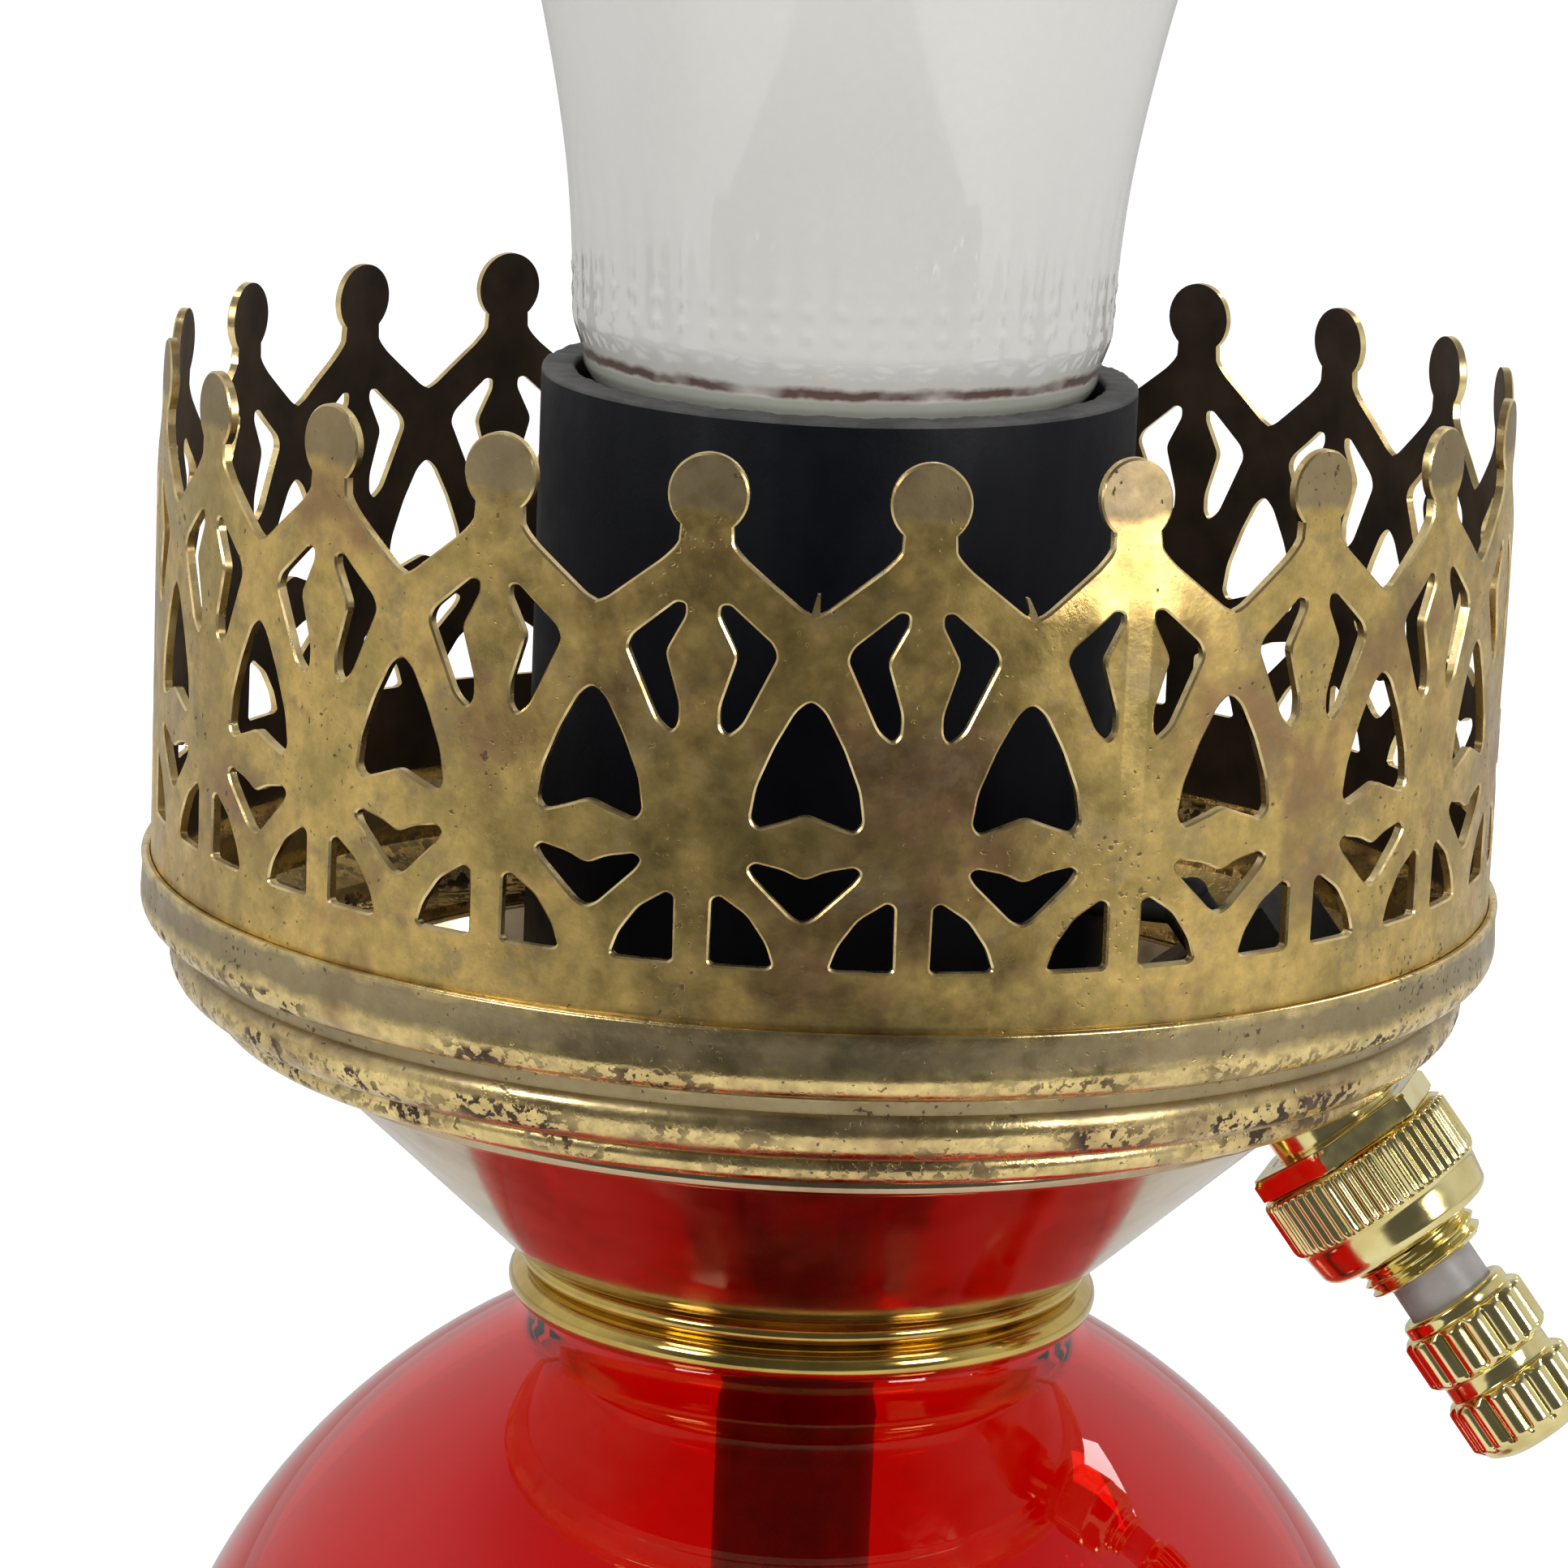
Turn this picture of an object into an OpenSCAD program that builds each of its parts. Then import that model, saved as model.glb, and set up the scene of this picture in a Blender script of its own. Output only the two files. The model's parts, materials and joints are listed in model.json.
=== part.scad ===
/* [Foot] */
// Outer diameter of the spun foot
foot_d = 126; // [110:1:160]
// Height of the foot, from the table to the top of its stem
foot_h = 50; // [42:1:70]
// Diameter of the stem at the top of the foot
stem_d = 37; // [31:0.5:46]
// Height of the foot's straight rim
rim_h = 11; // [10:0.5:16]
// Sheet thickness of the foot
foot_wall = 1.2; // [0.8:0.1:2]
// Thickness of the felt pad under the foot
felt_t = 1.5; // [1:0.5:3]
// Gap between the cast weight and the inside of the foot
weight_gap = 1.8; // [0.8:0.1:6]
// Diameter of the hole for the cord in the foot's rim
cord_hole_d = 8; // [6.5:0.5:8.5]
// Bore of the cord bushing
cord_bore_d = 6; // [4.5:0.5:6]

/* [Font] */
// Outer diameter of the glass font
font_d = 105; // [86:1:130]
// Wall of the glass font
font_wall = 3; // [2:0.5:4]
// Diameter of the flat that the font stands on
font_flat_d = 32; // [26:1:40]
// Outer diameter of the font's neck
neck_d = 41; // [34:0.5:50]
// Height of the neck above the ball
neck_h = 4.2; // [3.4:0.1:8]
// Wall of the dark tube that hides the pipe inside the font
tube_wall = 1.05; // [0.8:0.05:2]

/* [Collar and bowl] */
// How far the collar's beads stand out from its bore
collar_w = 2.5; // [2:0.1:4]
// Height of the collar
collar_h = 5; // [4.4:0.1:5.4]
// Gap between the black sleeve and the bowl's foot
sleeve_gap = 0.34; // [0.3:0.02:3]
// Height of the bowl
bowl_h = 18.1; // [15:0.1:26]
// Sheet thickness of bowl and pan
sheet = 0.9; // [0.7:0.1:1.2]

/* [Gallery] */
// Clear width between the sleeve and the crown
trough_w = 28.5; // [26:0.5:40]
// Height from the pan's rim to the centre of the finials
crown_h = 37.6; // [31:0.2:46]
// Number of finials round the crown
finials = 21; // [18:1:25]
// Radius of one finial
finial_r = 2.9; // [2.4:0.1:3.5]
// Sheet thickness of the crown
crown_t = 0.7; // [0.5:0.1:1.2]
// Turn of the first finial from the front, clockwise seen from above
crown_turn = 9.7; // [-10:0.1:10]
// How far the crown sinks into the pan's rim
crown_sink = 3; // [2:0.2:4]
// How far the ledge that a shade's foot ring stands on lies below the crown
ledge_drop = 0.8; // [0.4:0.1:1.2]
// Height of the pan's lowest step
low_step_h = 2.4; // [2:0.1:5]
// Height of the pan's middle step
mid_step_h = 5.2; // [4:0.1:8]
// Width of the pan's floor outside the bowl's top
pan_ledge = 5.45; // [4.5:0.05:8]

/* [Sleeve and chimney] */
// Wall of the sleeve where the chimney stands in it
sleeve_wall = 2.6; // [2:0.1:3.2]
// Gap between the chimney's neck and the sleeve
chimney_gap = 1.2; // [0.5:0.1:2]
// Width of the ledge under the chimney's foot
chimney_seat = 1; // [0.6:0.1:1.6]
// How far the sleeve's rim stands above the centre of the finials
sleeve_rise = 0.8; // [0:0.1:6]
// Depth at which the chimney stands in the sleeve
seat_depth = 10.5; // [6:0.5:14]
// Height of the chimney above the sleeve's rim
chimney_h = 183; // [150:1:220]
// How far the chimney swells just above the sleeve
chimney_flare = 1.6; // [0.5:0.1:4]
// Greatest diameter of the chimney
bulge_d = 66; // [55:1:80]
// Height of the greatest diameter above the sleeve's rim
bulge_z = 75; // [60:1:90]
// Diameter of the chimney's upper throat
throat_d = 42; // [38:0.5:51]
// Depth of the throat below the open top
throat_depth = 33; // [24:1:45]
// Diameter of the chimney's open top
mouth_d = 46; // [38:0.5:56]
// Wall of the chimney
chimney_wall = 2; // [1.5:0.1:2.5]

/* [Pipe and socket] */
// Outer diameter of the threaded pipe
pipe_d = 10.2; // [8.6:0.1:12.4]
// Bore of the threaded pipe
pipe_bore_d = 6.8; // [5:0.1:7]
// Outer diameter of the bulb's screw shell
bulb_base_d = 26; // [21.6:0.1:31.4]
// Wall of the socket body round its metal shell
socket_wall = 3; // [2.5:0.1:4]
// Thickness of the socket body's floor
socket_floor = 6; // [5:0.5:12]
// Space between the socket body and the sleeve
socket_space = 1.7; // [1.4:0.1:4]
// Outer diameter of the tubular bulb
bulb_d = 28.6; // [24:0.2:35]
// Gap between the bulb and the chimney's neck
bulb_gap = 2.9; // [2:0.1:5]
// Length of the bulb's glass
bulb_l = 92; // [70:1:111]

/* [Switch] */
// Depth of the switch below the bowl's top
switch_down = 2.2; // [1.6:0.1:4]
// Angle by which the switch points lower than square to the bowl's side
switch_tilt = 6.8; // [0:0.1:10]
// Angle of the switch from the side towards the front
switch_turn = 15; // [0:1:30]
// Diameter of the nylon shaft
shaft_d = 7.1; // [5.8:0.1:8.6]
// Wall of the threaded bushing round the shaft
bushing_wall = 1.5; // [1.2:0.1:2]
// How far the ring nut stands out from the bushing
nut_w = 3.1; // [2.5:0.1:4]
// Wall of the knob round the shaft
knob_wall = 1.75; // [1.4:0.05:4]
// Length of the knob
knob_l = 13; // [10.5:0.1:18]
// Side of the square switch body
switch_body_w = 14; // [11.6:0.2:17]
// Depth of the switch body
switch_body_l = 13; // [10:0.5:13.5]

/* [Clearances] */
// Gap round a part that only passes through a hole
hole_gap = 0.15; // [0.1:0.05:0.3]
// Gap round a turning or sliding part
run_gap = 0.05; // [0.02:0.01:0.1]
// Gap that keeps curved faces apart
air_gap = 0.3; // [0.2:0.05:0.5]

/* [Hidden] */
$fn = 96;
eps = 0.01;

// pipe and what screws onto it
pipe_r = pipe_d / 2;
pipe_hole_r = pipe_r + hole_gap;
nut_d = pipe_d + 7.8;
washer_r = pipe_r + 5.9;

// bulb, socket, chimney neck and sleeve, from the inside out
base_r = bulb_base_d / 2;
base_wall = 0.5;
thread_gap = 0.1;
shell_in = base_r + thread_gap;
shell_t = 0.4;
shell_out = shell_in + shell_t;
socket_r = shell_out + socket_wall;
bulb_r = bulb_d / 2;
sleeve_low_in = max(socket_r + socket_space, bulb_r + bulb_gap + chimney_wall - chimney_seat);
chimney_neck_r = sleeve_low_in + chimney_seat;
sleeve_in = chimney_neck_r + chimney_gap;
sleeve_r = sleeve_in + sleeve_wall;

// foot, from the table up
foot_r = foot_d / 2;
rim_round = 3;
shelf_step = 2.7;
shelf_z = felt_t + rim_h + shelf_step;
shelf_r = foot_r - 8;
weight_r = shelf_r - foot_wall - weight_gap;
weight_top = shelf_z - foot_wall;
weight_low = felt_t + 2;
weight_h = weight_top - weight_low;
nut_h = 3.8;
washer_t = 1.2;
washer_low = weight_low + nut_h + 0.4;
counterbore_r = washer_r + 2;
cord_z = felt_t + rim_h * 0.5;

// font, on its cup and gasket
font_r = font_d / 2;
flat_r = font_flat_d / 2;
cup_floor = 7;
cup_h = 12.5;
cup_r = flat_r + 8;
gasket_t = 1.5;
font_low = foot_h + cup_floor + gasket_t;
font_z = font_low + sqrt(font_r * font_r - flat_r * flat_r);
neck_r = neck_d / 2;
font_top = font_z + sqrt(font_r * font_r - neck_r * neck_r) + neck_h;
tube_r = pipe_hole_r + tube_wall;
tube_gap = 0.9;
gasket_gap = 1.2;
top_gasket_t = 1;

// collar, bowl and pan stack on the font's neck
plate_t = 1.2;
collar_top = font_top + top_gasket_t + plate_t;
collar_low = collar_top - collar_h;
collar_in = neck_r + air_gap;
collar_r = collar_in + collar_w;
bowl_z = collar_top;
wall_run = sheet * 1.4;
bowl_low_r = sleeve_r + sleeve_gap + wall_run;
lip_w = 2.7;
pan_z = bowl_z + bowl_h;
rim_floor = 2.2;
groove2_z = low_step_h;
groove1_z = groove2_z + mid_step_h;
pan_h = groove1_z + rim_floor + crown_sink;
pan_rim = pan_z + pan_h;
crown_in = sleeve_r + trough_w;
crown_r = crown_in + crown_t;
finial_z = pan_rim + crown_h;
crown_low = pan_rim - crown_sink;
pitch = 360 / finials;
half_w = crown_r * PI / finials;

// steps of the pan: each bead's radius is set back from the crown
rim_w = 0.7;
pan_r1 = crown_r + run_gap + rim_w;
pan_r2 = pan_r1 - 2.3;
pan_r3 = pan_r2 - 3.3;
bowl_top_r = pan_r3 - pan_ledge;
pan_in = bowl_top_r - wall_run;
ledge_w = 0.3;

// sleeve and chimney
seat_low = bowl_z + sheet;
seat_t = 2;
seat_ring_h = 2.8;
seat_ring_w = 2.4;
sleeve_low = seat_low + seat_t;
sleeve_top = finial_z + sleeve_rise;
ledge_z = sleeve_top - seat_depth;
chimney_low = ledge_z + 0.1;
low_z = 4.5;
throat_z = chimney_h - throat_depth;

// pipe ends, socket and bulb
pipe_low = felt_t + 1.1;
locknut_h = 4;
cap_low = sleeve_low + locknut_h + 1.5;
cap_h = 6.5;
cap_plate = 2;
pipe_top = cap_low + cap_h - cap_plate;
socket_z = cap_low + cap_h;
shell_z = socket_z + socket_floor;
contact_t = 1.2;
tip_gap = 0.3;
tip_z = shell_z + contact_t + tip_gap;
tip_h = 1.6;
insulator_h = 3;
base_z = tip_z + tip_h + insulator_h;
base_h = 22;
shell_h = contact_t + tip_gap + tip_h + insulator_h + base_h;
socket_h = socket_floor + shell_h + 1.9;
screw_r = 1.3;
screw_z = socket_z + 3;
screw_x = socket_r - 5;
bulb_z = base_z + base_h;
bulb_wall = 0.8;
bulb_neck_r = base_r - base_wall;
bulb_sink = 1.5;

// switch: local Z runs out of the bowl along the shaft
bowl_slope = (bowl_top_r - bowl_low_r) / (bowl_h - sheet);
switch_z = pan_z - switch_down;
switch_r = bowl_low_r + bowl_slope * (bowl_h - switch_down);
switch_drop = atan(bowl_slope) + switch_tilt;
shaft_r = shaft_d / 2;
bushing_r = shaft_r + run_gap + bushing_wall;
body_sink = switch_body_w / 2 * (tan(switch_tilt) + switch_body_w / 4 / switch_r);
bushing_low = -sheet - body_sink - 0.06;
body_low = bushing_low - switch_body_l;
hex_nut_d = 2 * (bushing_r + 3);
hex_nut_h = 1.9;
hex_nut_z = 2.5;
ring_nut_r = bushing_r + nut_w;
ring_nut_z = hex_nut_z + hex_nut_h;
ring_nut_h = 8.4;
bushing_end = ring_nut_z + ring_nut_h + 2.5;
shaft_sink = 3.8;
knob_z = bushing_end + 3.1;
knob_grip = 8;
knob_r = shaft_r + knob_wall;
lead_r = 1.1;
lead_gap = 0.3;
lead_space = 3;
lead_run = 3;
lead_r0 = switch_r - cos(switch_drop) * (lead_run - body_low);
lead_z = switch_z + sin(switch_drop) * (lead_run - body_low);
lead_end = sleeve_low_in + 0.6;
notch_w = switch_body_w + 2 * air_gap;

// the crown's pattern is drawn for this half width and height, and stretched to fit
drawn_w = 7.78;
drawn_h = 37.6;

// ---- helpers ----

// Points of an arc in the profile plane, centre (cx, cz), from angle a to angle b
function arc(cx, cz, r, a, b, n = 6) =
    [for (i = [0 : n]) let (t = a + (b - a) * i / n) [cx + r * cos(t), cz + r * sin(t)]];

// A value that eases from a to b while t goes from 0 to 1
function ease(a, b, t) = a + (b - a) * t * t * (3 - 2 * t);

// A plain tube standing on z
module tube(r_out, r_in, h, z = 0) {
    translate([0, 0, z])
        difference() {
            cylinder(r = r_out, h = h);
            translate([0, 0, -1]) cylinder(r = r_in, h = h + 2);
        }
}

// A straight hole along Z
module bore(r, z, h) {
    translate([0, 0, z]) cylinder(r = r, h = h);
}

// Puts its children in the switch's frame: Z along the shaft, zero on the bowl's face
module at_switch() {
    rotate([0, 0, -switch_turn])
        translate([switch_r, 0, switch_z])
            rotate([0, 90 + switch_drop, 0])
                children();
}

// A hexagonal nut with a round hole
module hex_nut(across_corners, hole_r, h, z) {
    translate([0, 0, z])
        difference() {
            cylinder(d = across_corners, h = h, $fn = 6);
            translate([0, 0, -1]) cylinder(r = hole_r, h = h + 2);
        }
}

// A disc with fluted edge, drawn flat
module fluted_disc(r, flutes, flute_r) {
    difference() {
        circle(r = r);
        for (i = [0 : flutes - 1])
            rotate([0, 0, i * 360 / flutes])
                translate([r + flute_r * 0.35, 0]) circle(r = flute_r, $fn = 16);
    }
}

// ---- foot ----

function foot_outline(t) = concat(
    [[foot_r - t, felt_t]],
    arc(foot_r - rim_round, felt_t + rim_h - rim_round, rim_round - t, 0, 90),
    [[shelf_r + 1.2, felt_t + rim_h - t], [shelf_r - t, felt_t + rim_h + 1.2 - t],
     [shelf_r - t, shelf_z - t]],
    [for (i = [0 : 12])
        let (s = i / 12)
        [stem_d / 2 + 3.5 - t + (shelf_r - 5 - stem_d / 2 - 3.5) * pow(1 - s, 1.9),
         shelf_z - t + (foot_h - 9 - shelf_z) * pow(s, 1.25)]],
    arc(stem_d / 2 + 2, foot_h - 7, 2 - t * 0.5, -40, 80),
    [[stem_d / 2 - t, foot_h - 4.6], [stem_d / 2 - t, foot_h - t]]);

module foot_shell() {
    color("goldenrod")
        difference() {
            rotate_extrude()
                polygon(concat([[0, felt_t]], foot_outline(0), [[0, foot_h]]));
            rotate_extrude()
                polygon(concat([[0, felt_t - 1], [foot_r - foot_wall, felt_t - 1]],
                    foot_outline(foot_wall), [[0, foot_h - foot_wall]]));
            bore(pipe_hole_r, foot_h - 5, 10);
            translate([0, foot_r - 6, cord_z]) rotate([-90, 0, 0])
                cylinder(d = cord_hole_d, h = 10);
        }
}

module felt_pad() {
    color("darkolivegreen") tube(foot_r - 0.5, counterbore_r, felt_t);
}

module foot_weight() {
    color("dimgray")
        difference() {
            bore(weight_r, weight_low, weight_h);
            bore(pipe_hole_r, weight_low - 1, weight_h + 2);
            bore(counterbore_r, weight_low - 1, washer_low + washer_t - weight_low + 1);
            translate([-cord_hole_d / 2, 0, weight_low - 1])
                cube([cord_hole_d, weight_r + 1, cord_z + cord_hole_d / 2 - weight_low + 1]);
        }
}

module base_washer() {
    color("silver") tube(washer_r, pipe_hole_r, washer_t, washer_low);
}

module base_nut() {
    color("silver") hex_nut(nut_d, pipe_r, nut_h, washer_low - nut_h);
}

module cord_bushing() {
    flange_y = sqrt(foot_r * foot_r - cord_hole_d * cord_hole_d / 4);
    color("black")
        translate([0, 0, cord_z]) rotate([-90, 0, 0])
            difference() {
                union() {
                    translate([0, 0, flange_y - 6.5])
                        cylinder(d = cord_hole_d - 0.1, h = 7.5);
                    translate([0, 0, foot_r + 0.05]) cylinder(d = cord_hole_d + 1.8, h = 1.6);
                }
                translate([0, 0, foot_r - 9]) cylinder(d = cord_bore_d, h = 14);
            }
}

// ---- font ----

module font_cup() {
    top = foot_h + cup_h;
    color("goldenrod")
        difference() {
            rotate_extrude()
                polygon(concat([[0, foot_h], [stem_d / 2 - 2, foot_h]],
                    arc(stem_d / 2 - 2, foot_h + 1.5, 1.5, -90, 0, 4),
                    [for (i = [1 : 6]) [ease(stem_d / 2 - 0.8, cup_r - 1, i / 6),
                        foot_h + 2.5 + (cup_h - 5) * i / 6]],
                    arc(cup_r - 1, top - 1.3, 1.2, -70, 90, 6),
                    [[0, top - 0.1]]));
            translate([0, 0, font_z]) sphere(r = font_r + air_gap, $fn = 128);
            bore(flat_r + air_gap, foot_h + cup_floor, cup_h);
            bore(pipe_hole_r, foot_h - 1, cup_h);
        }
}

module lower_gasket() {
    color("saddlebrown") tube(flat_r, tube_r + gasket_gap, gasket_t, foot_h + cup_floor);
}

module font_glass() {
    inner_r = font_r - font_wall;
    floor_z = font_low + font_wall;
    color([0.8, 0.03, 0.02, 0.6])
        difference() {
            union() {
                difference() {
                    translate([0, 0, font_z]) sphere(r = font_r, $fn = 128);
                    bore(font_r, font_low - font_r, font_r);
                    bore(font_r, font_top, font_r);
                }
                bore(neck_r, font_z, font_top - font_z);
            }
            difference() {
                translate([0, 0, font_z]) sphere(r = inner_r, $fn = 128);
                bore(font_r, floor_z - font_r, font_r);
            }
            bore(neck_r - font_wall, font_z, font_top - font_z + 1);
            bore(tube_r + tube_gap, font_low - 1, font_wall + 2);
        }
}

module pipe_sleeve() {
    low = foot_h + cup_floor;
    color("maroon") tube(tube_r, pipe_hole_r, font_top + top_gasket_t - low, low);
}

module center_pipe() {
    color("darkgoldenrod") tube(pipe_r, pipe_bore_d / 2, pipe_top - pipe_low, pipe_low);
}

module upper_gasket() {
    color("saddlebrown") tube(neck_r, tube_r + gasket_gap, top_gasket_t, font_top);
}

// ---- collar, bowl, pan and crown ----

module neck_collar() {
    r = collar_r;
    bead = (collar_h - 1.4) / 2;
    color("gold")
        difference() {
            rotate_extrude()
                polygon(concat([[0, collar_low], [r - 1.2, collar_low]],
                    arc(r - bead * 0.75, collar_low + bead * 0.75, bead * 0.75, -60, 75),
                    [[r - bead * 0.9, collar_low + bead * 1.65]],
                    arc(r - bead * 0.85, collar_low + bead * 2.15, bead * 0.5, -60, 70),
                    [[r - bead * 1.1, collar_low + bead * 2.75], [r - 2.1, collar_top],
                     [0, collar_top]]));
            bore(collar_in, collar_low - 1, font_top + top_gasket_t - collar_low + 1);
            bore(pipe_hole_r, collar_low, collar_h + 1);
        }
}

module burner_bowl() {
    color("gold")
        difference() {
            rotate_extrude()
                polygon([[0, bowl_z], [bowl_low_r - 1, bowl_z], [bowl_low_r, bowl_z + sheet],
                    [bowl_top_r, pan_z - sheet], [bowl_top_r + lip_w, pan_z - sheet],
                    [bowl_top_r + lip_w, pan_z], [0, pan_z]]);
            rotate_extrude()
                polygon([[0, bowl_z + sheet], [bowl_low_r - wall_run, bowl_z + sheet],
                    [bowl_top_r - wall_run, pan_z - sheet], [bowl_top_r - wall_run, pan_z + 1],
                    [0, pan_z + 1]]);
            bore(pipe_hole_r, bowl_z - 1, 5);
            at_switch() bore(bushing_r + hole_gap, -10, 14);
        }
}

// Profile of the pan's two lower steps, outside (t = 0) or inside (t = sheet)
function pan_outline(t) = concat(
    [[pan_r3 - 1.7, t]],
    arc(pan_r3 - 1.5, 1.5, 1.5 - t * 0.9, -80, 0, 5),
    [[pan_r3 - t, groove2_z - 0.1], [pan_r3 + 0.3 - t, groove2_z]],
    arc(pan_r2 - 2.7, groove2_z + 2.7, 2.7 - t * 0.9, -75, 0, 6),
    [[pan_r2 - t, groove1_z - 0.1]]);

module gallery_pan() {
    inner = pan_outline(sheet);
    rim_bead_r = 2;
    ledge = pan_h - crown_sink - ledge_drop;
    color("darkkhaki")
        difference() {
            translate([0, 0, pan_z])
                rotate_extrude()
                    polygon(concat([[pan_in, 0]], pan_outline(0), [[pan_r2 + 0.3, groove1_z]],
                        arc(pan_r1 - rim_bead_r, groove1_z + 2.1, rim_bead_r, -75, 0, 5),
                        [[pan_r1, pan_h], [crown_r + run_gap, pan_h],
                         [crown_r + run_gap, pan_h - crown_sink],
                         [crown_in - ledge_w, pan_h - crown_sink],
                         [crown_in - ledge_w, ledge], [pan_r2 - sheet, ledge]],
                        [for (i = [len(inner) - 1 : -1 : 0]) inner[i]],
                        [[pan_in, sheet]]));
            at_switch() bore(bushing_r + air_gap, bushing_low, hex_nut_z - bushing_low);
            at_switch()
                translate([-notch_w / 2, -notch_w / 2, body_low])
                    cube([notch_w, notch_w, switch_body_l + air_gap]);
        }
}

// Stretches drawn points of the crown's pattern to its figures' real width and height
function fit(points) = [for (p = points) [p[0] * half_w / drawn_w, p[1] * crown_h / drawn_h]];

// The same points and their mirror image, as one closed outline
function both_sides(points) = concat(points,
    [for (i = [len(points) - 1 : -1 : 0]) [-points[i][0], points[i][1]]]);

// Openings of one figure of the crown, centred on a finial; heights are from the finial
module figure_openings() {
    for (side = [-1, 1])
        mirror([side < 0 ? 1 : 0, 0]) {
            polygon(fit([[1.3, -7.6], [2.0, -7.7], [5.1, -10.3], [5.3, -11.1], [3.0, -16.2],
                [2.1, -16.8], [1.6, -16.3], [1.5, -14.9], [2.6, -11.1], [1.3, -8.4]]));
            polygon(fit([[1.4, -28.7], [2.0, -28.4], [3.8, -29.7], [5.3, -31.6], [5.7, -33],
                [5.4, -33.3], [1.6, -33.3], [1.3, -33]]));
        }
}

// Openings centred between two finials, with the notch that frees the finials
module gap_openings() {
    neck_x = half_w - 1.75;
    neck_z = 0.7 - 1.48 * finial_r;
    valley_z = -7.6 * crown_h / drawn_h;
    difference() {
        polygon(both_sides([[0.1, valley_z - 0.3], [0.8, valley_z], [neck_x, neck_z],
            [neck_x, 0], [half_w, 0], [half_w, 2 * finial_r + 0.2]]));
        for (side = [-1, 1])
            translate([side * half_w, 0]) circle(r = finial_r);
    }
    polygon(fit(both_sides([[0.1, -14.3], [0.9, -14.7], [2.3, -17.3], [3.6, -20.5],
        [3.9, -22.6], [3.4, -23.3], [1.6, -22.9], [0.1, -22.3]])));
    polygon(fit(both_sides([[0.1, -26.8], [1.8, -26.1], [3.4, -25.9], [3.9, -26.3],
        [3.6, -26.9], [0.7, -29.6], [0.1, -29.9]])));
}

// Stands a flat pattern up against the crown's wall and cuts right through it
module through_wall() {
    translate([0, 0, finial_z]) rotate([90, 0, 0])
        translate([0, 0, crown_in - 1.5]) linear_extrude(height = crown_t + 3) children();
}

module gallery_crown() {
    color("darkkhaki")
        difference() {
            tube(crown_r, crown_in, finial_z + finial_r - 0.1 - crown_low, crown_low);
            for (i = [0 : finials - 1])
                rotate([0, 0, i * pitch - crown_turn]) {
                    through_wall() figure_openings();
                    rotate([0, 0, pitch / 2]) through_wall() gap_openings();
                }
        }
}

// ---- sleeve, chimney and socket ----

module sleeve_seat() {
    color("darkkhaki")
        difference() {
            union() {
                bore(sleeve_r, seat_low, seat_t);
                bore(sleeve_low_in - run_gap, seat_low, seat_t + seat_ring_h);
            }
            bore(sleeve_low_in - seat_ring_w, sleeve_low, seat_ring_h + 1);
            bore(pipe_hole_r, seat_low - 1, seat_t + 2);
        }
}

module top_locknut() {
    color("gold") hex_nut(nut_d, pipe_r, locknut_h, sleeve_low);
}

module socket_sleeve() {
    color([0.06, 0.06, 0.08])
        difference() {
            bore(sleeve_r, sleeve_low, sleeve_top - sleeve_low);
            bore(sleeve_low_in, sleeve_low - 1, sleeve_top - sleeve_low);
            bore(sleeve_in, ledge_z, seat_depth + 1);
            lead_runs(lead_r + lead_gap, sleeve_low_in - 3, sleeve_r + 2);
        }
}

module socket_cap() {
    color("gold")
        difference() {
            union() {
                bore(pipe_r + 2.9, cap_low, cap_h);
                bore(socket_r - 0.5, socket_z - cap_plate, cap_plate);
            }
            bore(pipe_r, cap_low - 1, cap_h - cap_plate + 1);
            bore(pipe_bore_d / 2, cap_low, cap_h + 1);
        }
}

module socket_body() {
    color([0.08, 0.08, 0.08])
        difference() {
            bore(socket_r, socket_z, socket_h);
            bore(shell_out, shell_z, socket_h);
            bore(pipe_bore_d / 2, socket_z - 1, socket_floor - 2);
            for (side = [-1, 1])
                translate([side * screw_x, 0, screw_z]) rotate([0, side * 90, 0])
                    cylinder(r = screw_r, h = 8);
        }
}

module socket_shell() {
    color("gold") tube(shell_out, shell_in, shell_h, shell_z);
}

module socket_contact() {
    color("gold") bore(4, shell_z, contact_t);
}

module terminal_screws() {
    color("silver")
        for (side = [-1, 1])
            translate([side * screw_x, 0, screw_z]) rotate([0, side * 90, 0]) {
                cylinder(r = screw_r, h = 5);
                translate([0, 0, 5.05]) cylinder(r = 2.4, h = 1);
                translate([0, 0, 4.9]) cylinder(r = screw_r - 0.1, h = 0.3);
            }
}

function chimney_r(z) =
    z < low_z ? ease(chimney_neck_r, chimney_neck_r + chimney_flare, z / low_z)
    : z < bulge_z ? ease(chimney_neck_r + chimney_flare, bulge_d / 2, (z - low_z) / (bulge_z - low_z))
    : z < throat_z ? ease(bulge_d / 2, throat_d / 2, (z - bulge_z) / (throat_z - bulge_z))
    : ease(throat_d / 2, mouth_d / 2, (z - throat_z) / (chimney_h - throat_z));

module chimney_glass() {
    step = 3;
    heights = concat([0, 1.1, 2.2, 3.3], [for (z = [low_z : step : chimney_h - 1]) z], [chimney_h]);
    last = len(heights) - 1;
    color([0.93, 0.93, 0.92, 0.8])
        translate([0, 0, sleeve_top])
            rotate_extrude()
                polygon(concat(
                    [[chimney_neck_r, chimney_low - sleeve_top]],
                    [for (z = heights) [chimney_r(z), z]],
                    [for (i = [last : -1 : 0]) [chimney_r(heights[i]) - chimney_wall, heights[i]]],
                    [[chimney_neck_r - chimney_wall, chimney_low - sleeve_top]]));
}

// ---- bulb ----

module bulb_base() {
    color("silver") tube(base_r, base_r - base_wall, base_h, base_z);
}

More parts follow.
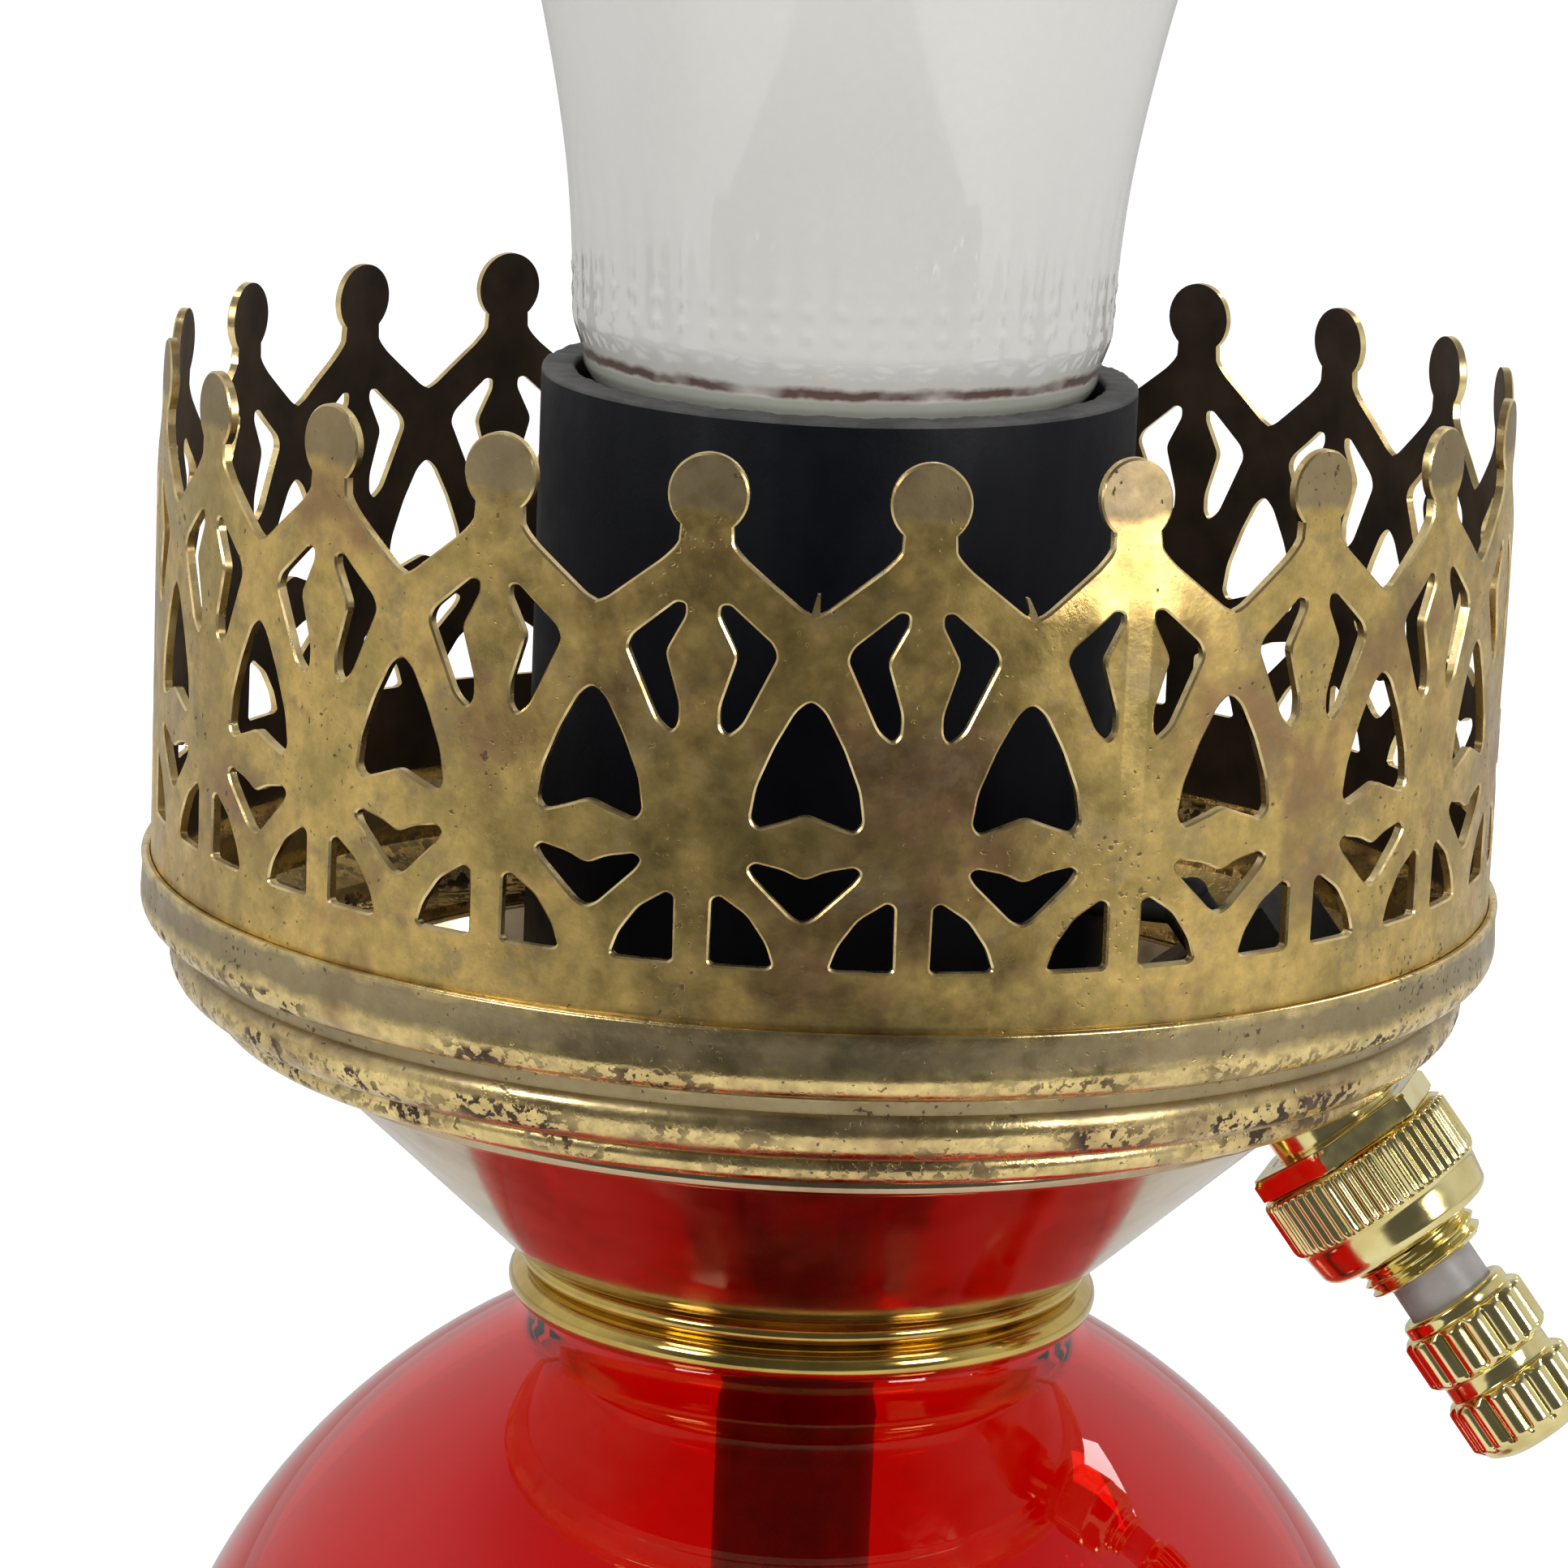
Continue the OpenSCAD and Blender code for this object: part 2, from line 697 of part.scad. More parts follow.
module bulb_insulator() {
    color([0.1, 0.1, 0.1])
        translate([0, 0, tip_z + tip_h])
            difference() {
                cylinder(r1 = 5, r2 = base_r - 0.2, h = insulator_h);
                translate([0, 0, -1]) cylinder(r = 2, h = insulator_h + 2);
            }
}

module bulb_contact() {
    color("silver") bore(4.2, tip_z, tip_h);
}

module bulb_stem() {
    color("lightgray")
        union() {
            bore(2.2, base_z, base_h + 22);
            translate([0, 0, bulb_z + 22]) sphere(r = 3.2);
            for (side = [-1, 1])
                translate([side * 4, 0, bulb_z + 22]) {
                    cylinder(r = 0.35, h = 22);
                    rotate([0, -90 * side, 0]) cylinder(r = 0.35, h = 4);
                }
            translate([-4, 0, bulb_z + 44]) rotate([0, 90, 0]) cylinder(r = 0.6, h = 8);
        }
}

function bulb_outline(t) = concat(
    [[bulb_neck_r - t, bulb_z - bulb_sink], [bulb_neck_r - t, bulb_z + 3]],
    [for (i = [1 : 5]) [ease(bulb_neck_r, bulb_r, i / 5) - t, bulb_z + 3 + 2 * i]],
    [for (i = [0 : 9]) let (a = i * 10)
        [(bulb_r - t) * cos(a), bulb_z + bulb_l - bulb_r + (bulb_r - t) * sin(a)]]);

module bulb_glass() {
    color([0.96, 0.96, 0.94, 0.7])
        rotate_extrude()
            difference() {
                polygon(concat([[0, bulb_z - bulb_sink]], bulb_outline(0), [[0, bulb_z + bulb_l]]));
                polygon(concat([[0, bulb_z - 2 * bulb_sink],
                    [bulb_neck_r - bulb_wall, bulb_z - 2 * bulb_sink]],
                    bulb_outline(bulb_wall), [[0, bulb_z + bulb_l - bulb_wall]]));
            }
}

// ---- switch ----

module switch_body() {
    w = switch_body_w;
    color([0.07, 0.07, 0.07])
        at_switch()
            difference() {
                translate([-w / 2, -w / 2, body_low])
                    cube([w, w, switch_body_l]);
                for (side = [-1, 1])
                    translate([0, side * lead_space, body_low - 1])
                        cylinder(r = lead_r, h = 4);
                bore(shaft_r + run_gap, bushing_low - shaft_sink - 0.2, 6);
            }
}

// The level runs of both leads, from x0 to x1 out from the lamp's axis
module lead_runs(r, x0, x1) {
    rotate([0, 0, -switch_turn])
        for (side = [-1, 1])
            translate([x0, side * lead_space, lead_z]) rotate([0, 90, 0])
                cylinder(r = r, h = x1 - x0);
}

module switch_leads() {
    color("black")
        union() {
            lead_runs(lead_r, lead_end, lead_r0);
            for (side = [-1, 1])
                at_switch() translate([0, side * lead_space, body_low - lead_run]) {
                    sphere(r = lead_r + 0.15, $fn = 32);
                    cylinder(r = lead_r, h = lead_run + 3);
                }
        }
}

module switch_bushing() {
    color("gold")
        at_switch() tube(bushing_r, shaft_r + run_gap, bushing_end - bushing_low, bushing_low);
}

module switch_hex_nut() {
    color("gold")
        at_switch() hex_nut(hex_nut_d, bushing_r, hex_nut_h, hex_nut_z);
}

module switch_ring_nut() {
    knurl_h = 5.2;
    r = ring_nut_r;
    color("gold")
        at_switch()
            difference() {
                union() {
                    translate([0, 0, ring_nut_z]) linear_extrude(height = knurl_h)
                        fluted_disc(r, 36, 0.5);
                    translate([0, 0, ring_nut_z + knurl_h - eps])
                        cylinder(r1 = r - 0.5, r2 = r - 1.4, h = ring_nut_h - knurl_h + eps);
                }
                bore(bushing_r, ring_nut_z - 1, ring_nut_h + 2);
            }
}

module switch_shaft() {
    color("lightgray")
        at_switch() bore(shaft_r, bushing_low - shaft_sink, knob_z + knob_grip - bushing_low + shaft_sink);
}

module switch_knob() {
    groove = 1.6;
    barrel = (knob_l - groove - 2.6) / 2;
    color("gold")
        at_switch()
            difference() {
                union() {
                    bore(knob_r - 0.8, knob_z, 1.2);
                    translate([0, 0, knob_z + 1.2]) linear_extrude(height = barrel)
                        fluted_disc(knob_r, 16, 0.8);
                    bore(knob_r - 0.8, knob_z + 1.1 + barrel, groove + 0.2);
                    translate([0, 0, knob_z + 1.2 + barrel + groove])
                        linear_extrude(height = barrel) fluted_disc(knob_r, 16, 0.8);
                    translate([0, 0, knob_z + 1.15 + 2 * barrel + groove])
                        cylinder(r1 = knob_r - 0.4, r2 = knob_r - 1.8, h = 1.45);
                }
                bore(shaft_r, knob_z - 1, knob_grip + 1);
            }
}

foot_shell();
felt_pad();
foot_weight();
base_washer();
base_nut();
cord_bushing();
font_cup();
lower_gasket();
font_glass();
pipe_sleeve();
center_pipe();
upper_gasket();
neck_collar();
burner_bowl();
gallery_pan();
gallery_crown();
sleeve_seat();
top_locknut();
socket_sleeve();
socket_cap();
socket_body();
socket_shell();
socket_contact();
terminal_screws();
switch_body();
switch_leads();
switch_bushing();
switch_hex_nut();
switch_ring_nut();
switch_shaft();
switch_knob();
bulb_base();
bulb_insulator();
bulb_contact();
bulb_stem();
bulb_glass();
chimney_glass();
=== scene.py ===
# %% [markdown]
# # An electric lamp in the form of an oil lamp
# The lamp is a stack of turned and spun parts clamped on one pipe, so most pieces here are
# profiles spun round the Z axis. The CAD model gives every place and size; this file makes the
# surfaces worth looking at. Everything is in metres, in the CAD model's own frame.

# %% Load the fixed frame
import json
import math
import bpy
import numpy as np
from mathutils import Matrix, Vector
from mathutils.geometry import delaunay_2d_cdt


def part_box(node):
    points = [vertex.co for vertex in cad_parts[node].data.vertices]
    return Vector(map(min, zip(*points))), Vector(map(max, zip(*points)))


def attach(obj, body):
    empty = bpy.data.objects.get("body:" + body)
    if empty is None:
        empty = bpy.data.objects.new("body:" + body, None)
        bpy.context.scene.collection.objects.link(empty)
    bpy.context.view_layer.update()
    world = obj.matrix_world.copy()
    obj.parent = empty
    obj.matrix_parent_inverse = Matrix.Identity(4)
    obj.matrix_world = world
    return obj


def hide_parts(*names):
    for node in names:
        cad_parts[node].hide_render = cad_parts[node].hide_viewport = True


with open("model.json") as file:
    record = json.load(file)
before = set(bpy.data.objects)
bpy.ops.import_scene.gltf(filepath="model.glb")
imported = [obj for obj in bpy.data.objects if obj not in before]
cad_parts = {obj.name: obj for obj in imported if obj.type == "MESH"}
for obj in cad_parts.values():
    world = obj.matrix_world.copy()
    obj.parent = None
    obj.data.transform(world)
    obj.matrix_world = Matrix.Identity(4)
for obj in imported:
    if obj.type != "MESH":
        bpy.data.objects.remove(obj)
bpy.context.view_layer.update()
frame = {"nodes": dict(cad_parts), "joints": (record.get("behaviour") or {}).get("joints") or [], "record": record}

MM = 0.001

# %% [markdown]
# Levels and radii come from the boxes of the CAD nodes. `top`, `low` and `radius` read one
# number each, in millimetres, which is the unit that a lamp maker thinks in.

# %% Read sizes off the CAD nodes
def low(node):
    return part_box(node)[0].z / MM


def top(node):
    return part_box(node)[1].z / MM


def radius(node):
    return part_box(node)[1].x / MM


RIM_Z = top("socket_sleeve")
FINIAL_R = 2.9
FINIAL_Z = top("gallery_crown") - FINIAL_R + 0.1
CROWN_R = radius("gallery_crown")
PAN_Z = top("burner_bowl")
PAN_TOP = top("gallery_pan")
BOWL_Z = low("burner_bowl")
print("finials at", round(FINIAL_Z, 2), "crown radius", round(CROWN_R, 2), "pan at", round(PAN_Z, 2))

# %% [markdown]
# Spinning is how the foot, bowl, pan and collar are really made: a sheet is pressed against a
# turning form. In code it is a closed outline of (radius, height) points that is swept round Z.
# The outline's corners are rounded first, because a sharp corner never catches the light. A
# `shape` function may push each point in or out, which gives ribs, knurls and screw threads.

# %% Helpers that round and divide an outline
def rounded(points, r, closed=True, steps=4):
    """The outline with each corner replaced by a small curve that starts r before it."""
    out = []
    n = len(points)
    for i, p in enumerate(points):
        if not closed and i in (0, n - 1):
            out.append(tuple(p))
            continue
        p = np.array(p, float)
        a = np.array(points[i - 1], float) - p
        b = np.array(points[(i + 1) % n], float) - p
        la, lb = np.linalg.norm(a), np.linalg.norm(b)
        d = min(r, la * 0.45, lb * 0.45)
        start, end = p + a / la * d, p + b / lb * d
        for k in range(steps + 1):
            t = k / steps
            out.append(tuple((1 - t) ** 2 * start + 2 * t * (1 - t) * p + t * t * end))
    return out


def divided(points, step):
    """The closed outline with no stretch longer than step."""
    out = []
    for i in range(len(points)):
        p, q = np.array(points[i], float), np.array(points[(i + 1) % len(points)], float)
        parts = max(1, math.ceil(np.linalg.norm(q - p) / step))
        out += [tuple(p + (q - p) * k / parts) for k in range(parts)]
    return out


def arc(cx, cz, r, a, b, n=8):
    """Points of an arc about (cx, cz) from angle a to angle b, in degrees."""
    turns = [math.radians(a + (b - a) * k / n) for k in range(n + 1)]
    return [(cx + r * math.cos(t), cz + r * math.sin(t)) for t in turns]


# %% Helper that makes a mesh piece
def piece(name, verts, faces, body, nodes=(), slots=(), where=None, sharp=35):
    """A mesh from millimetre points, smooth apart from edges sharper than `sharp` degrees."""
    mesh = bpy.data.meshes.new(name)
    mesh.from_pydata([tuple(c * MM for c in v) for v in verts], [], faces)
    mesh.validate()
    obj = bpy.data.objects.new(name, mesh)
    bpy.context.scene.collection.objects.link(obj)
    for material in slots:
        mesh.materials.append(material)
    if where is not None:
        mesh.polygons.foreach_set("material_index", np.array(where, np.int32))
    mesh.shade_smooth()
    mesh.set_sharp_from_angle(angle=math.radians(sharp))
    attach(obj, body)
    if nodes:
        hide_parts(*nodes)
    print(f"{name}: {len(verts)} points, {len(faces)} faces")
    return obj


# %% Helper that spins an outline
def spun(name, outline, body, nodes=(), slots=(), segments=192, shape=None,
         pick=None, place=None, sharp=35):
    """Sweeps a closed outline of (radius, height) round Z. pick(r, z) chooses a material number."""
    n, rows = segments, len(outline)
    verts = []
    for k in range(n):
        a = 2 * math.pi * k / n
        for r, z in outline:
            if shape:
                r, z = shape(a, r, z)
            verts.append((r * math.cos(a), r * math.sin(a), z))
    faces, where = [], []
    for k in range(n):
        m = (k + 1) % n
        for i in range(rows):
            j = (i + 1) % rows
            faces.append((k * rows + i, m * rows + i, m * rows + j, k * rows + j))
            mid = ((outline[i][0] + outline[j][0]) / 2, (outline[i][1] + outline[j][1]) / 2)
            where.append(pick(*mid) if pick else 0)
    if place is not None:
        verts = [tuple(place @ Vector(v)) for v in verts]
    return piece(name, verts, faces, body, nodes, slots, where, sharp)


# %% [markdown]
# ## Finishes
# Each finish is a small graph of nodes on one Principled shader. Colour, roughness and height
# come from noise in the piece's own coordinates, so they hold still when a part moves. Numbers
# that are the same all over go straight on the shader.

# %% Helpers for node graphs
class Finish:
    """A material with one Principled shader and short ways to wire nodes into it."""

    def __init__(self, name, **sockets):
        self.material = bpy.data.materials.new(name)
        self.material.use_nodes = True
        self.tree = self.material.node_tree
        self.shader = self.tree.nodes["Principled BSDF"]
        self.coord = self.add("ShaderNodeTexCoord").outputs["Object"]
        for socket, value in sockets.items():
            self.shader.inputs[socket.replace("_", " ")].default_value = value

    def add(self, kind, **settings):
        node = self.tree.nodes.new(kind)
        for key, value in settings.items():
            setattr(node, key, value)
        return node

    def link(self, a, b):
        self.tree.links.new(a, b)

    def feed(self, socket, value):
        if isinstance(value, (int, float)):
            socket.default_value = value
        elif isinstance(value, tuple):
            socket.default_value = (*value, 1)
        else:
            self.link(value, socket)

    def noise(self, size_mm, detail=3, rough=0.5, stretch=(1, 1, 1)):
        """Noise whose lumps are about size_mm across."""
        mapping = self.add("ShaderNodeMapping")
        mapping.inputs["Scale"].default_value = [1 / (size_mm * MM) * s for s in stretch]
        self.link(self.coord, mapping.inputs["Vector"])
        node = self.add("ShaderNodeTexNoise")
        node.inputs["Scale"].default_value = 1
        node.inputs["Detail"].default_value = detail
        node.inputs["Roughness"].default_value = rough
        self.link(mapping.outputs[0], node.inputs["Vector"])
        return node.outputs["Fac"]

    def ramp(self, value, a, b, to_a=0.0, to_b=1.0):
        """value from a to b becomes to_a to to_b, and stays there beyond."""
        node = self.add("ShaderNodeMapRange")
        for socket, number in zip(node.inputs[1:5], (a, b, to_a, to_b)):
            socket.default_value = number
        self.link(value, node.inputs["Value"])
        return node.outputs[0]

    def math(self, operation, a, b):
        node = self.add("ShaderNodeMath", operation=operation)
        self.feed(node.inputs[0], a)
        self.feed(node.inputs[1], b)
        return node.outputs[0]

    def blend(self, factor, a, b):
        """Colour a where factor is 0, colour b where it is 1."""
        node = self.add("ShaderNodeMix", data_type="RGBA")
        self.feed(node.inputs["Factor"], factor)
        self.feed(node.inputs[6], a)
        self.feed(node.inputs[7], b)
        return node.outputs[2]

    def bump(self, height, depth_mm, strength=1.0):
        node = self.add("ShaderNodeBump")
        node.inputs["Strength"].default_value = strength
        node.inputs["Distance"].default_value = depth_mm * MM
        self.link(height, node.inputs["Height"])
        self.link(node.outputs[0], self.shader.inputs["Normal"])

    def paint(self, **sockets):
        for socket, value in sockets.items():
            self.feed(self.shader.inputs[socket.replace("_", " ")], value)
        return self.material


# %% [markdown]
# Old brass is the face of this lamp. It has gone olive-gold, with redder patches where it was
# handled, grey-brown tarnish, and dark pits where the lacquer broke. Wide noise makes the
# patches and fine noise cut off hard makes the specks. Pits also keep to certain heights, such as
# the crest of a bead, and so do grey bands: tarnish on the crown's finials, and painted shade on
# the pan's grooves and the upper faces of its beads, which mirror the dim room. Two arguments
# name these bands of height in mm, one for the grey and `crests` for the pits.

# %% Old brass
def height_band(f, z0, z1, soft=0.4):
    """1 between the heights z0 and z1, in mm, fading to 0 just outside."""
    height = f.add("ShaderNodeSeparateXYZ")
    f.link(f.coord, height.inputs[0])
    wavy = f.math("ADD", height.outputs["Z"], f.ramp(f.noise(3, 3, 0.6), 0.3, 0.7, -soft * MM, soft * MM))
    return f.math("MULTIPLY", f.ramp(wavy, (z0 - soft) * MM, (z0 + soft) * MM),
                  f.ramp(wavy, (z1 - soft) * MM, (z1 + soft) * MM, 1, 0))


def old_brass(name, specks=0.5, pale=(0.80, 0.56, 0.19), olive=(0.50, 0.37, 0.13), shine=0.3,
              crests=(), shade_and_tarnish=()):
    f = Finish(name, Metallic=1.0)
    patches = f.ramp(f.noise(7, 5, 0.68), 0.40, 0.60)
    colour = f.blend(patches, olive, pale)
    red = f.ramp(f.noise(15, 4, 0.65), 0.54, 0.66, 0, 0.8)
    colour = f.blend(red, colour, (0.37, 0.215, 0.115))
    grey = f.ramp(f.noise(5, 5, 0.7), 0.53, 0.66, 0, 0.55)
    # Each band listed here turns grey: tarnish on the crown's finials, painted shade on the pan's grooves and the
    # upper faces of its beads.
    for z0, z1 in shade_and_tarnish:
        grey = f.math("MAXIMUM", grey, f.math("MULTIPLY", height_band(f, z0, z1), 0.8))
    colour = f.blend(grey, colour, (0.27, 0.22, 0.145))
    cloudy = f.ramp(f.noise(1.3, 4, 0.7), 0.40, 0.66, 0, 0.34)
    colour = f.blend(cloudy, colour, (0.27, 0.19, 0.075))
    where = f.ramp(f.noise(9, 2, 0.5), 0.45, 0.68, 0.0, 0.12)
    fine = f.math("ADD", f.noise(0.55, 2, 0.4), where)
    spots = f.ramp(fine, 0.78 - 0.07 * specks, 0.84 - 0.07 * specks, 0, 0.75)
    for z0, z1 in crests:
        patchy = f.math("MULTIPLY", f.ramp(f.noise(12, 2), 0.38, 0.56), height_band(f, z0, z1, 0.25))
        pits = f.ramp(f.noise(1.0, 4, 0.6), 0.505, 0.535)
        spots = f.math("MAXIMUM", spots, f.math("MULTIPLY", pits, patchy))
    colour = f.blend(spots, colour, (0.10, 0.066, 0.05))
    f.bump(f.math("SUBTRACT", f.noise(0.6, 4, 0.65), spots), 0.035, 0.6)
    rough = f.ramp(f.noise(4, 4, 0.6), 0.3, 0.7, shine, shine + 0.2)
    for dull, more in ((grey, 0.16), (spots, 0.3)):
        rough = f.math("ADD", rough, f.math("MULTIPLY", dull, more))
    return f.paint(Base_Color=colour, Roughness=rough)


crown_brass = old_brass("old_brass_crown", 0.6, shine=0.24, shade_and_tarnish=[(FINIAL_Z - 1.2, FINIAL_Z + 4)])
print("old brass ready")

# %% [markdown]
# The crown is stamped from flat sheet and rolled into a ring. Every cut edge gets a lighter
# brass, partly the bare metal that the punch leaves and partly a painted highlight, and the inside
# is almost black.

# %% Cut edges and the dark inside
def cut_edge_and_highlight():
    f = Finish("cut_edge_and_painted_highlight", Metallic=1.0)
    # Lighter brass for the cut edges: partly bare metal, partly a painted highlight along the rounded edge.
    colour = f.blend(f.ramp(f.noise(3, 3), 0.4, 0.65), (0.86, 0.68, 0.34), (0.52, 0.37, 0.16))
    f.bump(f.noise(0.35, 2), 0.02, 0.5)
    return f.paint(Base_Color=colour, Roughness=f.ramp(f.noise(1.5), 0.3, 0.7, 0.2, 0.4))


def dark_inside():
    f = Finish("dark_inside", Metallic=0.75)
    colour = f.blend(f.ramp(f.noise(6, 4), 0.35, 0.7), (0.050, 0.035, 0.027), (0.11, 0.075, 0.045))
    f.bump(f.noise(0.6, 3), 0.02, 0.5)
    return f.paint(Base_Color=colour, Roughness=f.ramp(f.noise(5), 0.3, 0.7, 0.42, 0.6))


edge_brass_and_highlight, inside_brown = cut_edge_and_highlight(), dark_inside()

# %% [markdown]
# ## The pierced crown
# One figure of the pattern is drawn flat, in millimetres from the centre of its finial: the
# outline of its top, and openings that are mirrored left and right. A constrained Delaunay
# triangulation fills the sheet between those lines, with extra upright lines so that the flat
# sheet can bend. The figure is then repeated round the ring and given its thickness. A narrow
# slope along each outline stands for the rounded edge that the punch leaves; its lighter finish is
# partly bare metal and partly a painted highlight.

# %% The figure's outline and openings
FIGURES = 21
TURN = math.radians(9.7)
HALF = CROWN_R * math.pi / FIGURES
BAND = low("gallery_crown") - FINIAL_Z
CHEVRON = [(1.25, -7.7), (1.9, -7.6), (5.0, -10.2), (5.35, -11.1), (3.0, -16.1), (2.0, -16.9),
           (1.5, -16.3), (1.45, -14.9), (2.6, -11.2), (1.2, -8.5)]
FAN = [(1.35, -28.6), (1.9, -28.3), (3.9, -29.6), (5.3, -31.6), (5.8, -33.1), (5.4, -33.35),
       (1.6, -33.35), (1.3, -33.1)]
ARCH = [(0, -14.0), (1.0, -14.8), (2.4, -17.4), (3.6, -20.4), (3.95, -22.7), (3.4, -23.4),
        (1.6, -22.8), (0, -22.2)]
HEART = [(0, -26.9), (1.5, -26.2), (3.5, -25.8), (4.0, -26.2), (3.6, -26.9), (0.8, -29.6), (0, -30.0)]


def mirrored(points, about=0.0):
    return [(2 * about - x, z) for x, z in reversed(points)]


def whole(half_points, centre):
    """A closed outline from its right half, which starts and ends on the centre line."""
    right = [(centre + x, z) for x, z in half_points]
    return right + mirrored(right[1:-1], centre)


def top_line():
    """The top of one figure, from one valley over the finial to the next."""
    neck = math.degrees(math.asin(1.9 / FINIAL_R))
    ball = arc(0, 0, FINIAL_R, neck - 90, 90, 18)
    right = [(HALF, -8.1), (HALF - 0.8, -7.75), (3.0, -4.6), (2.15, -3.7), (1.75, -2.9)]
    right = rounded(right, 0.7, closed=False)[:-1] + ball
    return right, mirrored(right)[1:]


right_side, left_side = top_line()
sheet_outline = right_side + left_side + [(-HALF, BAND), (HALF, BAND)]
openings = [rounded(shape, 0.55) for shape in (CHEVRON, mirrored(CHEVRON), FAN, mirrored(FAN))]
openings += [rounded(whole(shape, side * HALF), 0.55) for shape in (ARCH, HEART) for side in (-1, 1)]
print("one figure is", round(2 * HALF, 2), "mm wide, with", len(openings), "openings in or beside it")

# %% Fill one figure with triangles
EDGE_W = 0.16


def offset(loop, distance):
    """The closed loop moved sideways by distance, to the left of its direction."""
    p = np.array(loop, float)
    t = np.roll(p, -1, 0) - np.roll(p, 1, 0)
    t /= np.linalg.norm(t, axis=1)[:, None] + 1e-12
    return p + np.stack([-t[:, 1], t[:, 0]], 1) * distance


def turns_left(loop):
    p = np.array(loop, float)
    q = np.roll(p, -1, 0)
    return (p[:, 0] * q[:, 1] - q[:, 0] * p[:, 1]).sum() > 0


def inside(points, loop):
    """Which points lie inside the closed loop."""
    p = np.array(loop, float)
    q = np.roll(p, -1, 0)
    x, z = points[:, :1], points[:, 1:]
    crosses = (p[:, 1] > z) != (q[:, 1] > z)
    rise = np.where(q[:, 1] == p[:, 1], 1e9, q[:, 1] - p[:, 1])
    at = p[:, 0] + (z - p[:, 1]) / rise * (q[:, 0] - p[:, 0])
    return (crosses & (x < at)).sum(1) % 2 == 1


def fill_figure():
    verts, edges = [], []

    def draw(points, closed=True):
        start = len(verts)
        verts.extend(Vector(p) for p in points)
        edges.extend((start + i, start + i + 1) for i in range(len(points) - 1))
        if closed:
            edges.append((start + len(points) - 1, start))

    draw(sheet_outline)
    beyond = [(-HALF - 0.8, -7.75), (-HALF - 3, -4.6), (-HALF - 3, BAND - 3), (HALF + 3, BAND - 3),
              (HALF + 3, -4.6), (HALF + 0.8, -7.75)]
    wide = right_side + left_side + beyond
    draw(offset(wide, EDGE_W if turns_left(wide) else -EDGE_W))
    for loop in openings:
        draw(loop)
        draw(offset(loop, -EDGE_W if turns_left(loop) else EDGE_W))
    for x in np.linspace(-HALF, HALF, 19):
        draw([(x, BAND - 1), (x, FINIAL_R + 1)], closed=False)
    for z in (-38, -35.5, -8.3, -6, -4, -2, 0, 2):
        draw([(-HALF - 1, z), (HALF + 1, z)], closed=False)
    points, _, triangles, *_ = delaunay_2d_cdt(verts, edges, [], 0, 1e-5)
    p = np.array([tuple(v) for v in points])
    t = np.array(triangles)
    middle = p[t].mean(1)
    keep = inside(middle, sheet_outline) & (abs(middle[:, 0]) < HALF)
    for loop in openings:
        keep &= ~inside(middle, loop)
    return p, t[keep]


flat_points, flat_triangles = fill_figure()
print("flat figure:", len(flat_points), "points,", len(flat_triangles), "triangles")

# %% [markdown]
# Handling has bent each finial in a little, by two degrees at most, and one of them by nine. That
# one flashes in the light. `LEAN` holds the angles, and the sheet bends above `BEND_Z`.

# %% Roll the figures into the ring
LEAN = np.random.default_rng(4).uniform(0, 2.2, FIGURES)
LEAN[2] = 9.0
BEND_Z = -8.3
SHEET = 0.7


def near_outline(points):
    """Distance from each point to the nearest cut line."""
    best = np.full(len(points), 9.0)
    for loop in openings + [sheet_outline[:-2]]:
        p = np.array(loop, float)
        q = np.roll(p, -1, 0)
        if loop not in openings:
            p, q = p[:-1], q[:-1]
        d = q - p
        s = ((points[:, None] - p) * d).sum(2) / ((d * d).sum(1) + 1e-12)
        gap = points[:, None] - p - np.clip(s, 0, 1)[..., None] * d
        best = np.minimum(best, np.linalg.norm(gap, axis=2).min(1))
    return best


